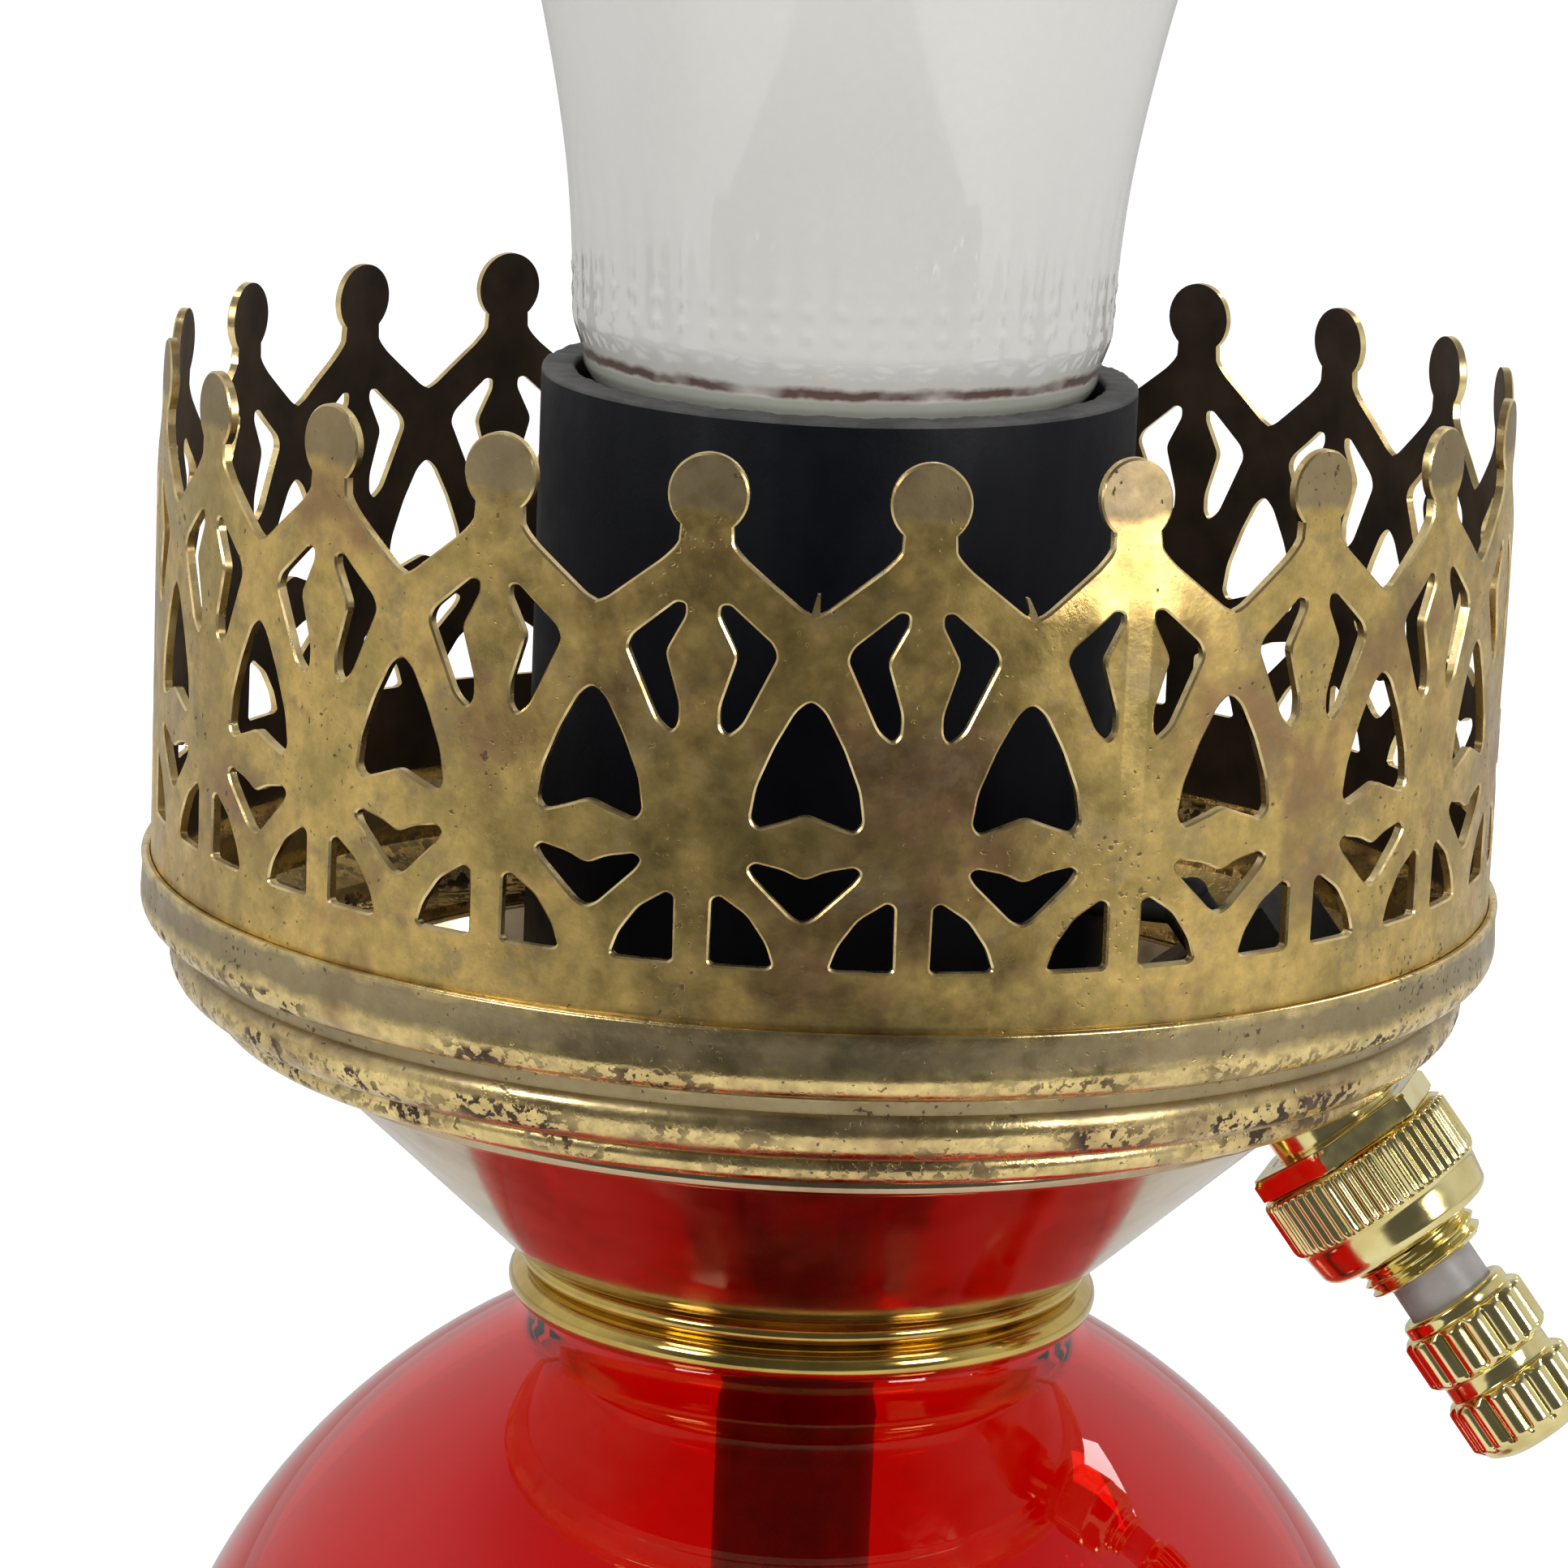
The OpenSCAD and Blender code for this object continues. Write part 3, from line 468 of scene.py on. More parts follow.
def roll_crown():
    used = np.unique(flat_triangles)
    renumber = np.full(len(flat_points), -1)
    renumber[used] = np.arange(len(used))
    p, t = flat_points[used], renumber[flat_triangles]
    cut = near_outline(p) < 0.03
    outer_r, turned_in = CROWN_R - np.where(cut, 0.13, 0.0), []
    n = len(p)
    pitch = 2 * math.pi / FIGURES
    points, faces = [], []
    for k in range(FIGURES):
        a = -math.pi / 2 - TURN + k * pitch + p[:, 0] / HALF * pitch / 2
        points.append(np.stack([np.cos(a), np.sin(a), p[:, 1]], 1))
        faces.append(t + k * n)
        turned_in.append(math.tan(math.radians(LEAN[k])) * np.clip(p[:, 1] - BEND_Z, 0, None))
    points, faces = np.concatenate(points), np.concatenate(faces)
    outer_r = np.tile(outer_r, FIGURES)
    turned_in = np.concatenate(turned_in)
    cut = np.tile(cut, FIGURES)
    keys = np.round(points * [CROWN_R, CROWN_R, 1], 3)
    _, first, same = np.unique(keys, axis=0, return_index=True, return_inverse=True)
    faces = same.ravel()[faces]
    points, outer_r, cut, turned_in = points[first], outer_r[first], cut[first], turned_in[first]
    a, b, c = faces.T
    faces = faces[(a != b) & (b != c) & (a != c)]
    outer_r = outer_r - turned_in
    inner_r = CROWN_R - SHEET - turned_in
    front = points * np.stack([outer_r, outer_r, np.ones(len(points))], 1)
    back = points * np.stack([inner_r, inner_r, np.ones(len(points))], 1)
    sides = np.concatenate([faces[:, [0, 1]], faces[:, [1, 2]], faces[:, [2, 0]]])
    lookup = {(int(a), int(b)) for a, b in sides}
    rims = [(a, b) for a, b in lookup if (b, a) not in lookup]
    m = len(points)
    slope = cut[faces].any(1)
    made = [tuple(f) for f in faces.tolist()]
    made += [(f[2] + m, f[1] + m, f[0] + m) for f in faces.tolist()]
    made += [(b, a, a + m, b + m) for a, b in rims]
    where = [1 if s else 0 for s in slope] + [2] * len(faces) + [1] * len(rims)
    verts = np.concatenate([front, back]) + [0, 0, FINIAL_Z]
    return verts.tolist(), made, where


crown_verts, crown_faces, crown_where = roll_crown()
piece("crown", crown_verts, crown_faces, "lamp", ["gallery_crown"],
      [crown_brass, edge_brass_and_highlight, inside_brown], crown_where, sharp=25)

# %% Burrs left by the punch in two of the valleys
def burrs():
    verts, faces = [], []
    outside, inside_r = CROWN_R - 0.05, CROWN_R - 0.6
    for k, lean in ((0.5, 0.12), (1.5, -0.35)):
        valley = -math.pi / 2 - TURN + k * 2 * math.pi / FIGURES
        n = len(verts)
        for z, half, sideways in ((-8.6, 0.4, 0), (-7.4, 0.22, lean), (-6.5, 0.1, lean * 2)):
            for r, s in ((outside, -half), (outside, half), (inside_r, half), (inside_r, -half)):
                a = valley + (s + sideways) / CROWN_R
                verts.append((r * math.cos(a), r * math.sin(a), FINIAL_Z + z))
        for row in (n, n + 4):
            for i in range(4):
                m = (i + 1) % 4
                faces.append((row + i, row + m, row + 4 + m, row + 4 + i))
        faces += [(n + 8, n + 9, n + 10, n + 11), (n + 3, n + 2, n + 1, n)]
    return verts, faces


burr_verts, burr_faces = burrs()
piece("crown_burrs", burr_verts, burr_faces, "lamp", slots=[edge_brass_and_highlight])

# %% [markdown]
# ## The pan under the crown
# The pan is spun in three steps, and each step ends in a rolled bead. The crests are bright and
# full of small brown pits. The grooves and the upper faces of the beads are painted grey: painted
# shade, where the brass mirrors the dim room. The crown stands in the groove inside the rim, and a
# flat ledge just inside it carries a shade's foot ring.

# %% Pan
CRESTS = [(PAN_Z + 0.5, PAN_Z + 2.0), (PAN_Z + 2.9, PAN_Z + 4.9), (PAN_Z + 7.7, PAN_Z + 9.3)]
# Grey bands on the pan's grooves and the upper faces of its beads: painted shade for the dim room that these faces
# mirror.
PAN_SHADE_AND_TARNISH = [(PAN_Z + 2.0, PAN_Z + 2.7), (PAN_Z + 5.4, PAN_Z + 7.6), (PAN_Z + 9.9, PAN_Z + 12.4)]
pan_brass = old_brass("old_brass_pan", 0.9, (0.98, 0.76, 0.34), (0.72, 0.55, 0.24), 0.12, CRESTS, PAN_SHADE_AND_TARNISH)
STEP_R = [CROWN_R + 0.75, CROWN_R - 1.6, CROWN_R - 4.9]
LIP_R = radius("burner_bowl")


def pan_outline():
    r1, r2, r3 = STEP_R
    z = PAN_Z
    outer = [(LIP_R - 4, z), (r3 - 1.6, z)]
    outer += arc(r3 - 1.35, z + 1.25, 1.35, -85, 60, 8) + [(r3 - 0.45, z + 2.15)]
    outer += arc(r2 - 2.45, z + 4.75, 2.45, -72, 25, 10) + [(r2 - 0.55, z + 6.1), (r2 - 0.25, z + 7.2)]
    outer += arc(r1 - 2.05, z + 9.5, 2.05, -70, 10, 10) + [(r1 - 0.12, z + 11.6)]
    outer += arc(r1 - 0.32, PAN_TOP - 0.3, 0.3, 0, 100, 5) + [(CROWN_R + 0.08, PAN_TOP - 0.1)]
    inner = [(CROWN_R + 0.08, PAN_TOP - 3), (CROWN_R - 1.0, PAN_TOP - 3), (CROWN_R - 1.0, z + 9)]
    inner += [(CROWN_R - 2.45, z + 9), (r2 - 1.2, z + 7.6), (r2 - 1.3, z + 4.2), (r2 - 3.2, z + 3.1)]
    inner += [(r3 - 1.2, z + 2.6), (r3 - 1.6, z + 0.95), (LIP_R - 4, z + 0.9)]
    return outer + inner


spun("pan", pan_outline(), "lamp", ["gallery_pan"], [pan_brass], 256)

# %% [markdown]
# ## Bowl and collar
# The bowl is a plain cone of polished brass that mirrors the red ball under it. The collar below
# it has a dark groove between two rounded beads. Polished metal needs low roughness and only
# faint scratches, and a thin brown stain gives the reflection an uneven depth.

# %% Polished brass
def polished_brass(name, colour=(0.56, 0.44, 0.28), stain=(0.30, 0.17, 0.08), shine=0.07):
    f = Finish(name, Metallic=1.0)
    stained = f.ramp(f.noise(8, 5, 0.65), 0.45, 0.75, 0, 0.8)
    base = f.blend(stained, colour, stain)
    f.bump(f.noise(0.9, 3, 0.6, (0.3, 0.3, 3)), 0.006, 0.35)
    return f.paint(Base_Color=base, Roughness=f.ramp(f.noise(5, 4), 0.35, 0.75, shine, shine + 0.13))


bowl_brass = polished_brass("polished_bowl_brass")
collar_brass = polished_brass("polished_collar_brass", (0.64, 0.46, 0.13), (0.34, 0.22, 0.05), 0.06)
print("polished brass ready")

# %% Bowl and collar
BOWL_LOW_R = 24.6
BOWL_TOP_R = LIP_R - 2.7


def bowl_outline():
    z, t = BOWL_Z, 0.9
    outer = [(5.3, z), (BOWL_LOW_R - 1.1, z), (BOWL_LOW_R + 0.05, z + 1)]
    outer += [(BOWL_TOP_R - 1.9, PAN_Z - 2.75)]
    outer += arc(BOWL_TOP_R - 0.9, PAN_Z - 1.7, 0.85, -80, 50, 8) + [(BOWL_TOP_R + 0.9, PAN_Z - 0.6)]
    return rounded(outer + [(LIP_R, PAN_Z - 0.5), (LIP_R, PAN_Z - 0.05), (BOWL_TOP_R - 1.9, PAN_Z - 0.05),
                            (BOWL_LOW_R - 1.26, z + t), (5.3, z + t)], 0.3)


def collar_outline():
    z0, z1, r = low("neck_collar"), top("neck_collar"), radius("neck_collar")
    outer = [(r - 2.4, z0)] + arc(r - 1.25, z0 + 1.35, 1.3, -80, 70, 12)
    outer += [(r - 1.55, z0 + 2.85)] + arc(r - 1.5, z0 + 3.65, 0.75, -75, 70, 8)
    return outer + [(r - 2.0, z1 - 0.3), (r - 2.2, z1 - 0.02), (5.3, z1 - 0.02), (5.3, z1 - 1.1),
                    (r - 2.5, z1 - 1.1)]


spun("bowl", bowl_outline(), "lamp", ["burner_bowl"], [bowl_brass], 256)
spun("collar", collar_outline(), "lamp", ["neck_collar"], [collar_brass], 256)

# %% [markdown]
# ## The glass ball
# The font is blown ruby glass with nothing in it but a dark tube round the pipe. It is modelled
# as a real wall, outside and inside, so that light bends where it should. Clear glass is one
# Principled shader with full transmission, and the colour is the colour of the glass.

# %% Ruby glass and the tube in it
def ruby_glass():
    f = Finish("ruby_glass", Transmission_Weight=1.0, IOR=1.48, Roughness=0.0)
    thick = f.ramp(f.noise(30, 2), 0.3, 0.7)
    f.bump(f.noise(22, 1, 0.3), 0.25, 0.12)
    return f.paint(Base_Color=f.blend(thick, (0.86, 0.010, 0.006), (0.80, 0.006, 0.004)))


def painted_tube():
    f = Finish("maroon_tube", Roughness=0.3)
    colour = f.blend(f.ramp(f.noise(2.5, 4), 0.35, 0.7), (0.10, 0.035, 0.03), (0.17, 0.06, 0.05))
    f.bump(f.noise(0.8), 0.02, 0.3)
    return f.paint(Base_Color=colour)


def font_outline():
    z0, z1, r = low("font_glass"), top("font_glass"), radius("font_glass")
    wall, neck = 3.0, 20.5
    mid = top("font_glass") - 4.2 - math.sqrt(r * r - neck * neck)
    flat = math.degrees(math.acos(16 / r))
    up = math.degrees(math.acos(neck / r))
    outer = [(7.4, z0), (14.6, z0)] + arc(0, mid, r, -flat + 1.5, up - 1, 60)
    outer += [(neck, mid + r * math.sin(math.radians(up)) + 1)]
    ri = r - wall
    flat_in = math.degrees(math.asin((mid - z0 - wall) / ri))
    up_in = math.degrees(math.acos((neck - wall) / ri))
    inner = [(neck, z1 - 0.3), (neck - 0.3, z1), (neck - wall, z1)]
    inner += [(neck - wall, mid + ri * math.sin(math.radians(up_in)) + 1)]
    inner += arc(0, mid, ri, up_in - 1, -flat_in + 1, 60) + [(7.4, z0 + wall)]
    return outer + inner


spun("glass_ball", font_outline(), "lamp", ["font_glass"], [ruby_glass()], sharp=60)
TUBE_R = radius("pipe_sleeve")
spun("tube_in_ball", rounded([(TUBE_R, low("pipe_sleeve")), (TUBE_R, top("pipe_sleeve")),
     (TUBE_R - 1, top("pipe_sleeve")), (TUBE_R - 1, low("pipe_sleeve"))], 0.2),
     "lamp", ["pipe_sleeve"], [painted_tube()], 96)

# %% [markdown]
# ## Sleeve and chimney
# The sleeve is matt black-blue moulded plastic, sawn off at the top, so its rim is grey and rough:
# the rim gets its own finish and a few hundredths of a millimetre of wobble. The chimney is satin
# opal glass. Fine ribs and rows of beads fade out a little above its foot. There the white layer
# ends in a brown line. The bare glass below it is clear, but it is painted as an opaque, shiny grey
# band in the same finish: a painted reflection over painted shade, for the room mirrored in the
# clear glass and the black sleeve seen through it.

# %% Black sleeve
def matt_black(name, colour, worn, rough, grain=0.5):
    f = Finish(name, Specular_IOR_Level=0.22)
    base = f.blend(f.ramp(f.noise(7, 5, 0.65), 0.4, 0.75), colour, worn)
    f.bump(f.noise(grain, 4, 0.7), 0.05, 0.4)
    return f.paint(Base_Color=base, Roughness=f.ramp(f.noise(3, 4), 0.3, 0.7, rough, rough + 0.12))


sleeve_black = matt_black("sleeve_black", (0.0020, 0.0026, 0.0055), (0.0042, 0.0048, 0.0080), 0.42)
sawn_rim = matt_black("sawn_rim", (0.06, 0.06, 0.062), (0.13, 0.13, 0.125), 0.55, 0.25)


def sleeve_shape(a, r, z):
    if z > RIM_Z - 0.45:
        z += 0.05 * math.sin(23 * a + 1) + 0.04 * math.sin(57 * a) + 0.03 * math.sin(131 * a + r)
    return r, min(z, RIM_Z)


SLEEVE_R = radius("socket_sleeve")
ledge = low("chimney_glass") - 0.1
sleeve_profile = rounded([(SLEEVE_R, low("socket_sleeve")), (SLEEVE_R, RIM_Z - 0.05), (20.4, RIM_Z - 0.05),
                          (20.4, ledge), (18.2, ledge), (18.2, low("socket_sleeve"))], 0.4)
spun("black_sleeve", sleeve_profile, "lamp", ["socket_sleeve"],
     [sleeve_black, sawn_rim], 256, sleeve_shape,
     pick=lambda r, z: 1 if z > RIM_Z - 0.42 else 0)

# %% Opal glass and clear glass
FOOT_LOW = RIM_Z - 20


def opal_glass():
    f = Finish("opal_glass", Coat_Weight=1.0, Coat_Roughness=0.04, Coat_IOR=1.6, IOR=1.5)
    cloud = f.ramp(f.noise(16, 3, 0.5, (1, 1, 0.3)), 0.35, 0.7)
    fine = f.ramp(f.noise(0.8, 3, 0.6), 0.3, 0.7)
    colour = f.blend(cloud, (0.80, 0.795, 0.77), (0.76, 0.755, 0.73))
    colour = f.blend(f.math("MULTIPLY", fine, 0.35), colour, (0.84, 0.835, 0.81))
    foot = height_band(f, FOOT_LOW, RIM_Z + 2.3, 0.7)
    colour = f.blend(f.math("MULTIPLY", foot, 0.6), colour, (0.80, 0.755, 0.66))
    broken = f.ramp(f.noise(7, 3), 0.38, 0.5, 0.25, 1)
    brown = f.math("MULTIPLY", height_band(f, RIM_Z + 1.0, RIM_Z + 1.85, 0.22), broken)
    colour = f.blend(brown, colour, (0.16, 0.095, 0.08))
    # The clear foot is not see-through: it is painted opaque grey, a painted reflection over painted shade.
    clear_foot_painted_grey = height_band(f, FOOT_LOW, RIM_Z + 0.95, 0.12)
    colour = f.blend(clear_foot_painted_grey, colour, (0.42, 0.43, 0.37))
    wavy = f.math("MULTIPLY", f.noise(1.6, 2), f.math("MULTIPLY", clear_foot_painted_grey, 8))
    f.bump(f.math("ADD", f.noise(0.35, 3, 0.6), wavy), 0.012, 0.5)
    return f.paint(Base_Color=colour, Roughness=f.ramp(clear_foot_painted_grey, 0, 1, 0.2, 0.05))


def clear_glass(name, tint=(0.93, 0.93, 0.90)):
    f = Finish(name, Transmission_Weight=1.0, IOR=1.5)
    f.bump(f.noise(2.2, 2), 0.08, 0.35)
    return f.paint(Base_Color=f.blend(f.ramp(f.noise(5), 0.35, 0.7), tint, (0.82, 0.78, 0.70)),
                   Roughness=f.ramp(f.noise(1.5), 0.35, 0.75, 0.02, 0.18))


NECK_R = 19.7


def ease(a, b, t):
    t = min(1, max(0, t))
    return a + (b - a) * t * t * (3 - 2 * t)


def chimney_radius(z):
    """The chimney's outer radius, z millimetres above the sleeve's rim."""
    if z < 4.5:
        return ease(NECK_R, 20.8, z / 4.5) + 0.12 * math.exp(-((z - 0.5) / 0.35) ** 2)
    if z < 75:
        return ease(20.8, 33, (z - 4.5) / 70.5)
    if z < 150:
        return ease(33, 21, (z - 75) / 75)
    return ease(21, 23, (z - 150) / 33)


CHIMNEY_H = top("chimney_glass") - RIM_Z


def chimney_outline():
    heights = [0.4 * k for k in range(45)] + list(np.arange(18, CHIMNEY_H - 0.8, 1.5))
    outer = [(chimney_radius(z), RIM_Z + z) for z in heights]
    lip = arc(chimney_radius(CHIMNEY_H) - 1, RIM_Z + CHIMNEY_H - 1, 1, 0, 180, 8)
    inner = [(r - 2, z) for r, z in outer[::-3]]
    z, r = low("chimney_glass"), radius("socket_sleeve") - 4.1
    foot = [(r - 2, z + 0.3), (r - 1.7, z), (r - 0.3, z), (r, z + 0.4), (r, RIM_Z - 1.2)]
    return outer + lip + inner + foot


def chimney_shape(a, r, z):
    up = z - RIM_Z
    if r > NECK_R - 0.9 and 3.2 < up < 18:
        fade = math.sin(math.pi * (up - 3.2) / 14.8) ** 1.5
        r += 0.07 * fade * (0.5 + 0.5 * math.cos(52 * a))
        if up < 10:
            beads = max(0, math.cos(52 * a)) * max(0, math.cos(2 * math.pi * up / 1.9))
            r += 0.13 * beads * math.sin(math.pi * (up - 3.2) / 6.8)
    return r, z


spun("chimney", chimney_outline(), "chimney", ["chimney_glass"],
     [opal_glass()], 512, chimney_shape, sharp=70)

# %% [markdown]
# ## The rotary switch
# The switch is new bright brass on a nylon shaft, and it points out and down from the bowl. Its
# axis is the axis of the knob's joint, so all of its pieces are spun upright and then laid on that
# axis. Fine straight knurls, wide flutes and a screw thread are all `shape` functions.

# %% New brass and nylon
def new_brass():
    f = Finish("new_brass", Metallic=1.0)
    base = f.blend(f.ramp(f.noise(3, 3), 0.4, 0.7), (0.90, 0.79, 0.40), (0.76, 0.63, 0.26))
    f.bump(f.noise(0.5, 2), 0.008, 0.3)
    return f.paint(Base_Color=base, Roughness=f.ramp(f.noise(1.5), 0.3, 0.7, 0.08, 0.2))


def nylon():
    f = Finish("nylon", Transmission_Weight=0.25, Subsurface_Weight=0.4, Subsurface_Scale=0.003)
    base = f.blend(f.ramp(f.noise(2.5, 3), 0.35, 0.7), (0.40, 0.375, 0.37), (0.54, 0.50, 0.49))
    f.bump(f.noise(0.7, 3, 0.6, (1, 1, 0.2)), 0.02, 0.4)
    return f.paint(Base_Color=base, Roughness=f.ramp(f.noise(1), 0.3, 0.7, 0.3, 0.5))


switch_brass, shaft_nylon = new_brass(), nylon()
turn = next(j for j in frame["joints"] if j["name"] == "knob_turn")
out = Vector(turn["axis"]).normalized()
side = Vector((0, 0, 1)).cross(out).normalized()
up = out.cross(side)
on_switch = Matrix((side, up, out)).transposed().to_4x4()
on_switch.translation = Vector(turn["pos_m"]) / MM
print("switch points", [round(c, 3) for c in out], "from", [round(c, 4) for c in turn["pos_m"]])

# %% Nuts and threaded bushing
NUT_Z, RING_Z, RING_END, BUSHING_END = 2.5, 4.4, 12.8, 15.3
NUT_R, KNURL_L, PITCH = 8.1, 5.3, 0.94
BUSHING_R, SHAFT_R, KNOB_Z, KNOB_L = 5.1, 3.55, 18.4, 13.0


def hexagon(a, r, z):
    """Pulls a circle in to a hexagon, with its corners chamfered away at the ends."""
    across = math.cos(math.pi / 6) / math.cos((a % (math.pi / 3)) - math.pi / 6)
    chamfer = 7.75 if abs(z - (NUT_Z + 0.95)) > 0.8 else 9
    return (min(r * across, chamfer) if r > 6 else r), z


def knurl(a, r, z):
    if r > 8.0 and RING_Z < z < RING_Z + KNURL_L:
        ends = min(1, (z - RING_Z) / 0.5, (RING_Z + KNURL_L - z) / 0.5)
        r -= 0.34 * ends * (0.5 - 0.5 * math.cos(54 * a))
    return r, z


def thread(a, r, z):
    if r > 4.4 and z > RING_END - 1:
        turns = (z / PITCH - a / (2 * math.pi)) % 1
        r -= 0.5 * abs(2 * turns - 1) * min(1, (BUSHING_END + 0.1 - z) / 0.4 + 0.3)
    return r, z


hex_profile = rounded([(BUSHING_R, NUT_Z), (NUT_R, NUT_Z), (NUT_R, RING_Z), (BUSHING_R, RING_Z)], 0.15)
ring_profile = [(BUSHING_R, RING_Z), (7.5, RING_Z), (8.2, RING_Z + 0.5)]
ring_profile += [(8.2, RING_Z + KNURL_L - 0.5), (7.75, RING_Z + KNURL_L)]
ring_profile += arc(6.2, RING_END - 1.35, 1.3, 20, 88, 8) + [(BUSHING_R, RING_END)]
spun("switch_hexagon", divided(hex_profile, 0.3), "lamp", ["switch_hex_nut"],
     [switch_brass], 180, hexagon, place=on_switch, sharp=25)
spun("switch_ring", divided(rounded(ring_profile, 0.3), 0.35), "lamp", ["switch_ring_nut"],
     [switch_brass], 432, knurl, place=on_switch, sharp=60)
bore = SHAFT_R + 0.06
thread_profile = [(bore, -2.4), (BUSHING_R, -2.4), (BUSHING_R, BUSHING_END - 0.2),
                  (BUSHING_R - 0.3, BUSHING_END), (bore, BUSHING_END)]
spun("switch_thread", divided(thread_profile, 0.09), "lamp", ["switch_bushing"],
     [switch_brass], 120, thread, place=on_switch, sharp=70)

# %% Shaft and knob
BARREL = (KNOB_L - 1.6 - 2.6) / 2
FIRST = KNOB_Z + 1.2
SECOND = FIRST + BARREL + 1.6


def flutes(a, r, z):
    for start in (FIRST, SECOND):
        if start < z < start + BARREL and r > 4.3:
            ends = min(1, (z - start) / 0.4, (start + BARREL - z) / 0.4)
            r -= 0.48 * ends * (1 - abs(math.cos(8 * a)) ** 0.8)
    return r, z


def knob_outline():
    r, end = SHAFT_R + 1.75, KNOB_Z + KNOB_L
    points = [(SHAFT_R, KNOB_Z), (r - 1.1, KNOB_Z), (r - 0.8, KNOB_Z + 0.3), (r - 0.8, FIRST)]
    points += [(r - 0.35, FIRST + 0.05), (r, FIRST + 0.45)]
    points += [(r, FIRST + BARREL - 0.45), (r - 0.4, FIRST + BARREL - 0.05)]
    points += [(r - 0.85, FIRST + BARREL + 0.1), (r - 0.85, SECOND - 0.1)]
    points += [(r - 0.4, SECOND + 0.05), (r, SECOND + 0.45)]
    points += [(r, SECOND + BARREL - 0.45), (r - 0.45, SECOND + BARREL)]
    points += [(r - 0.9, end - 0.75), (r - 2.0, end - 0.2), (0.01, end)]
    return points + [(0.01, KNOB_Z + 8), (SHAFT_R, KNOB_Z + 8)]


spun("knob", divided(rounded(knob_outline(), 0.18), 0.35), "switch_rotor", ["switch_knob"],
     [switch_brass], 256, flutes, place=on_switch, sharp=50)
SHAFT_Z0, SHAFT_Z1 = -6.2, KNOB_Z + 7.9
shaft_profile = [(0.01, SHAFT_Z0), (SHAFT_R, SHAFT_Z0), (SHAFT_R, SHAFT_Z1), (0.01, SHAFT_Z1)]
spun("nylon_shaft", rounded(shaft_profile, 0.2), "switch_rotor", ["switch_shaft"],
     [shaft_nylon], 96, place=on_switch)

# %% [markdown]
# ## Foot and cup
# The foot is spun like the pan: a straight rim, a shelf and a hollow curve up to the stem. A cast
# weight and felt close it from below. It wears the same old brass, with fewer specks.

# %% Foot
foot_brass = old_brass("old_brass_foot", 0.35, shine=0.26)
FOOT_R, FOOT_TOP, RIM_LOW = radius("foot_shell"), top("foot_shell"), low("foot_shell")
STEM_R = 18.5


def foot_outline(t):
    shelf, rim = FOOT_R - 8, RIM_LOW + 11
    points = [(FOOT_R - t, RIM_LOW)]
    points += arc(FOOT_R - 1, RIM_LOW + 1.1, 1 - t * 0.7, -40, 0, 4)
    points += arc(FOOT_R - 3, rim - 3, 3 - t, 0, 90, 10)
    points += [(shelf + 1.3, rim - t), (shelf - t, rim + 1.2 - t), (shelf - t, rim + 2.2 - t)]
    points += [(shelf - t - 0.6, rim + 2.7 - t)]
    for k in range(25):
        s = k / 24
        points.append((STEM_R + 3.5 - t + (shelf - 5 - STEM_R - 3.5) * (1 - s) ** 1.9,
                       rim + 2.7 - t + (FOOT_TOP - 9 - rim - 2.7) * s ** 1.25))
    points += arc(STEM_R + 2, FOOT_TOP - 7, 2 - t * 0.5, -40, 80, 10)
    return points + [(STEM_R - t, FOOT_TOP - 4.6), (STEM_R - t, FOOT_TOP - t)]


spun("foot", foot_outline(0) + [(5.3, FOOT_TOP), (5.3, FOOT_TOP - 1.2)] + foot_outline(1.2)[::-1],
     "lamp", ["foot_shell"], [foot_brass], 256)

# %% Cup under the ball
CUP_LOW, BALL_R = low("font_cup"), radius("font_glass")
ball_z = low("font_glass") + math.sqrt(BALL_R ** 2 - 16 ** 2)


def cup_outline():
    seat = [(r, ball_z - math.sqrt((BALL_R + 0.3) ** 2 - r * r)) for r in np.linspace(23.2, 16.4, 12)]
    outer = [(5.3, CUP_LOW), (STEM_R - 1.8, CUP_LOW)] + arc(STEM_R - 2, CUP_LOW + 1.5, 1.5, -85, 0, 8)
    outer += [(ease(STEM_R - 0.8, 23, k / 12), CUP_LOW + 2.5 + 7.3 * k / 12) for k in range(1, 13)]
    outer += [(23.6, CUP_LOW + 10.2), (23.75, CUP_LOW + 10.6), (23.6, CUP_LOW + 11)]
    return outer + seat + [(16.3, CUP_LOW + 7), (5.3, CUP_LOW + 7)]


spun("cup", cup_outline(), "lamp", ["font_cup"], [foot_brass], 256)

# %% [markdown]
# ## What is inside
# The remaining CAD nodes have the right shape already: pipe, nuts, socket, weight, gaskets and
# bulb. They stay as they are and get finishes, each with its own colour change and grain.

# %% Finishes for the inner parts
def plain(name, colour, other, metal=0.0, rough=0.45, size=2.0, grain=0.4, depth=0.03, **sockets):
    f = Finish(name, Metallic=metal, **sockets)
    base = f.blend(f.ramp(f.noise(size, 4, 0.6), 0.35, 0.7), colour, other)
    f.bump(f.noise(grain, 3, 0.6), depth, 0.5)
    return f.paint(Base_Color=base, Roughness=f.ramp(f.noise(size * 0.7), 0.3, 0.7, rough, rough + 0.15))


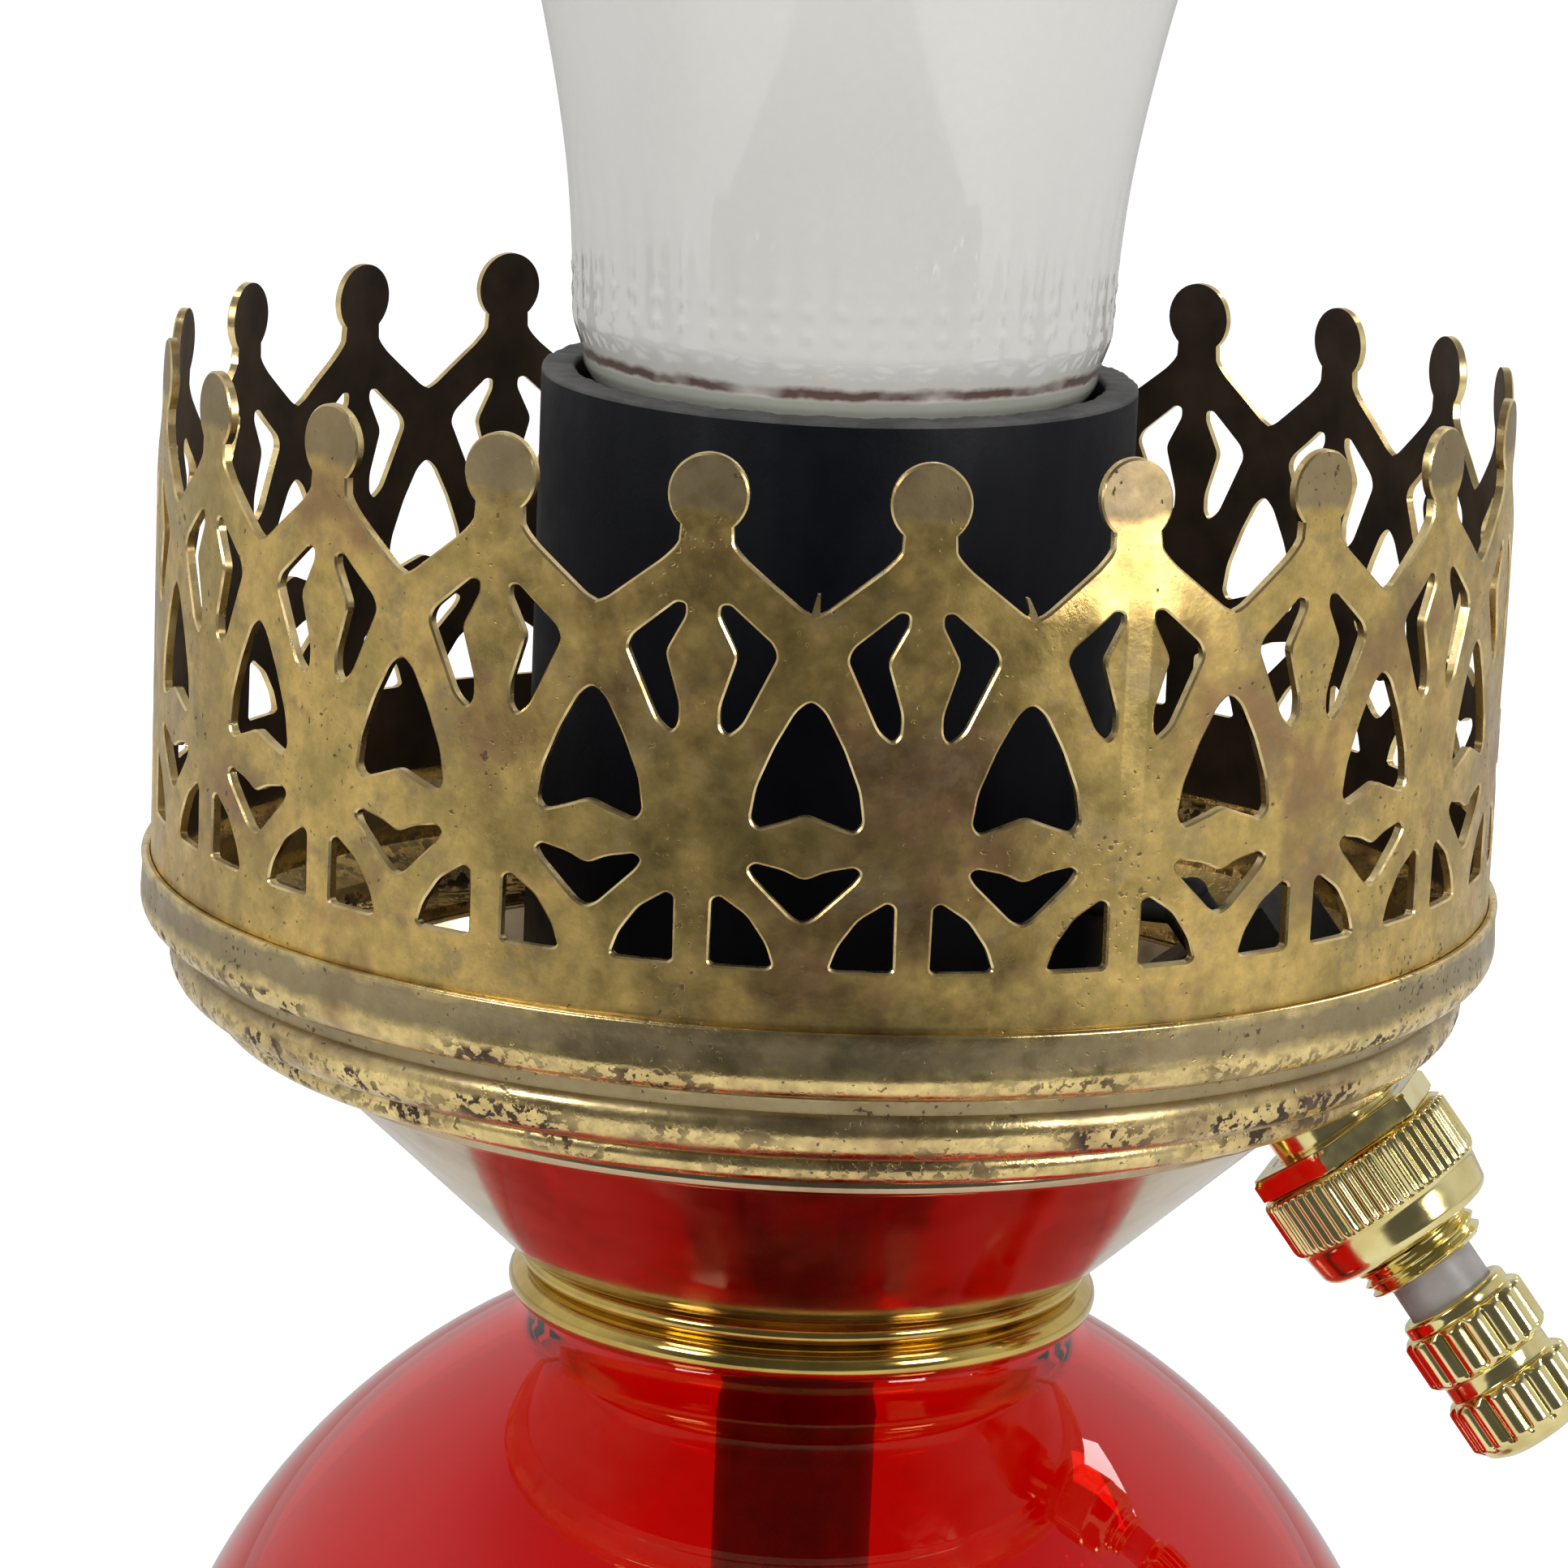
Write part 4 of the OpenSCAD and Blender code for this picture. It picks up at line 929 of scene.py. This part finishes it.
inner_finishes = {
    "plated_steel": plain("zinc_plate", (0.55, 0.55, 0.52), (0.42, 0.42, 0.40), 1.0, 0.28),
    "cast_weight": plain("cast_iron", (0.05, 0.05, 0.05), (0.10, 0.085, 0.075), 0.6, 0.6, 4, 1.2, 0.2),
    "black_plastic": plain("black_plastic", (0.012, 0.012, 0.012), (0.02, 0.02, 0.021), 0, 0.35),
    "cork_rubber": plain("cork_rubber", (0.16, 0.08, 0.04), (0.28, 0.16, 0.08), 0, 0.8, 1.2, 0.6, 0.1),
    "lead_rubber": plain("lead_rubber", (0.01, 0.01, 0.01), (0.02, 0.02, 0.02), 0, 0.5),
    "green_felt": plain("felt", (0.03, 0.075, 0.04), (0.05, 0.11, 0.06), 0, 0.9, 1.0, 0.3, 0.2,
                        Sheen_Weight=0.6),
    "polished_brass": plain("inner_brass", (0.70, 0.52, 0.22), (0.55, 0.38, 0.14), 1.0, 0.22),
    "switch_brass": switch_brass,
    "antique_brass": foot_brass,
    "clear_glass": clear_glass("stem_glass"),
    "bulb_white": plain("bulb_coating", (0.80, 0.80, 0.78), (0.86, 0.86, 0.84), 0, 0.3, 9, 0.8, 0.005),
}
slot_of = {row["node"]: row["material_slot"] for row in frame["record"]["subparts"]}
dressed = 0
for name, obj in frame["nodes"].items():
    if obj.hide_render:
        continue
    finish = inner_finishes[slot_of[name]]
    if obj.material_slots:
        for slot in obj.material_slots:
            slot.link = "OBJECT"
            slot.material = finish
    else:
        obj.data.materials.append(finish)
    dressed += 1
print("CAD nodes dressed:", dressed)

# %% [markdown]
# ## Studio
# The lamp stands on a white table that ends a little in front of it, in a pale room. What lies
# beyond the table's front edge is dimmer, and that dim band in the metal is what makes brass look
# like brass. Two soft panels at the sides draw long highlights down the glass.

# %% Table and room
def white_table():
    f = Finish("white_table", Roughness=0.7)
    seen = f.add("ShaderNodeLightPath").outputs["Is Camera Ray"]
    paper = f.blend(f.ramp(f.noise(300), 0.3, 0.7), (0.96, 0.96, 0.95), (0.93, 0.93, 0.925))
    colour = f.blend(seen, (0.62, 0.62, 0.61), paper)
    glow = f.ramp(seen, 0, 1, 0.22, 0.75)
    return f.paint(Base_Color=colour, Emission_Color=paper, Emission_Strength=glow)


def flat_sheet(name, corners, material):
    mesh = bpy.data.meshes.new(name)
    mesh.from_pydata(corners, [], [(0, 1, 2, 3)])
    mesh.materials.append(material)
    obj = bpy.data.objects.new(name, mesh)
    bpy.context.scene.collection.objects.link(obj)
    return obj


EDGE_Y = -0.41
flat_sheet("table", [(-3, EDGE_Y, 0), (3, EDGE_Y, 0), (3, 4, 0), (-3, 4, 0)], white_table())

world = bpy.data.worlds.new("room")
bpy.context.scene.world = world
world.use_nodes = True
sky = world.node_tree


def sky_node(kind, **settings):
    node = sky.nodes.new(kind)
    for key, value in settings.items():
        setattr(node, key, value)
    return node


def sky_ramp(value, a, b, to_a, to_b):
    node = sky_node("ShaderNodeMapRange", interpolation_type="SMOOTHSTEP")
    for socket, number in zip(node.inputs[1:5], (a, b, to_a, to_b)):
        socket.default_value = number
    sky.links.new(value, node.inputs["Value"])
    return node.outputs[0]


way = sky_node("ShaderNodeSeparateXYZ")
sky.links.new(sky_node("ShaderNodeTexCoord").outputs["Generated"], way.inputs[0])
behind = sky_ramp(way.outputs["Y"], -0.95, 0.1, 0.0, 1.0)
overhead = sky_ramp(way.outputs["Z"], 0.45, 0.9, 1.0, 0.25)
lit = sky_node("ShaderNodeMath", operation="MULTIPLY")
sky.links.new(behind, lit.inputs[0])
sky.links.new(overhead, lit.inputs[1])
room = sky_ramp(lit.outputs[0], 0.0, 1.0, 0.10, 0.66)
seen = sky_node("ShaderNodeLightPath").outputs["Is Camera Ray"]
mix = sky_node("ShaderNodeMix", data_type="FLOAT")
sky.links.new(seen, mix.inputs["Factor"])
sky.links.new(room, mix.inputs[2])
mix.inputs[3].default_value = 1.0
background = sky.nodes["Background"]
background.inputs["Color"].default_value = (1, 0.995, 0.985, 1)
sky.links.new(mix.outputs[0], background.inputs["Strength"])
print("table and room ready")

# %% Soft panels
def panel(name, place, aim, size, power, colour=(1, 0.99, 0.97), gloss=True):
    light = bpy.data.lights.new(name, "AREA")
    light.shape = "RECTANGLE"
    light.size, light.size_y = size
    light.energy = power
    light.color = colour
    obj = bpy.data.objects.new(name, light)
    obj.location = place
    obj.rotation_euler = (Vector(aim) - Vector(place)).to_track_quat("-Z", "Y").to_euler()
    obj.visible_glossy = gloss
    bpy.context.scene.collection.objects.link(obj)


middle = (0, 0, 0.2)
panel("left_panel", (-0.72, -0.68, 0.62), middle, (0.3, 0.3), 3.2)
panel("right_panel", (0.76, -0.66, 0.47), middle, (0.3, 0.3), 3.6)
panel("front_panel", (0.05, -1.3, 1.3), (0, 0, 0.25), (1.3, 0.7), 11, gloss=False)
panel("left_ceiling_panel", (-0.5, 0.12, 1.35), middle, (0.3, 0.3), 2.2)
panel("right_ceiling_panel", (0.75, 0.6, 1.05), middle, (0.3, 0.3), 2.2)

# %% [markdown]
# ## Camera
# A long lens, half a metre from the middle of the lamp and a little above the crown, tipped down
# and rolled a touch. Its height is measured from the centres of the finials.

# %% Camera
view = bpy.data.cameras.new("view")
view.sensor_width = 36
view.lens = 141.2
camera = bpy.data.objects.new("view", view)
bpy.context.scene.collection.objects.link(camera)
yaw, pitch, roll = (math.radians(d) for d in (-0.37, -12.85, 2.36))
ahead = Vector((math.sin(yaw) * math.cos(pitch), math.cos(yaw) * math.cos(pitch), math.sin(pitch)))
level = ahead.cross(Vector((0, 0, 1))).normalized()
over = level.cross(ahead)
right = level * math.cos(roll) + over * math.sin(roll)
over = over * math.cos(roll) - level * math.sin(roll)
camera.matrix_world = Matrix((right, over, -ahead)).transposed().to_4x4()
camera.location = (0, -0.46894, (FINIAL_Z + 75.08) * MM)
bpy.context.scene.camera = camera
bpy.context.scene.view_settings.view_transform = "Standard"
print("camera at", [round(c, 3) for c in camera.location])
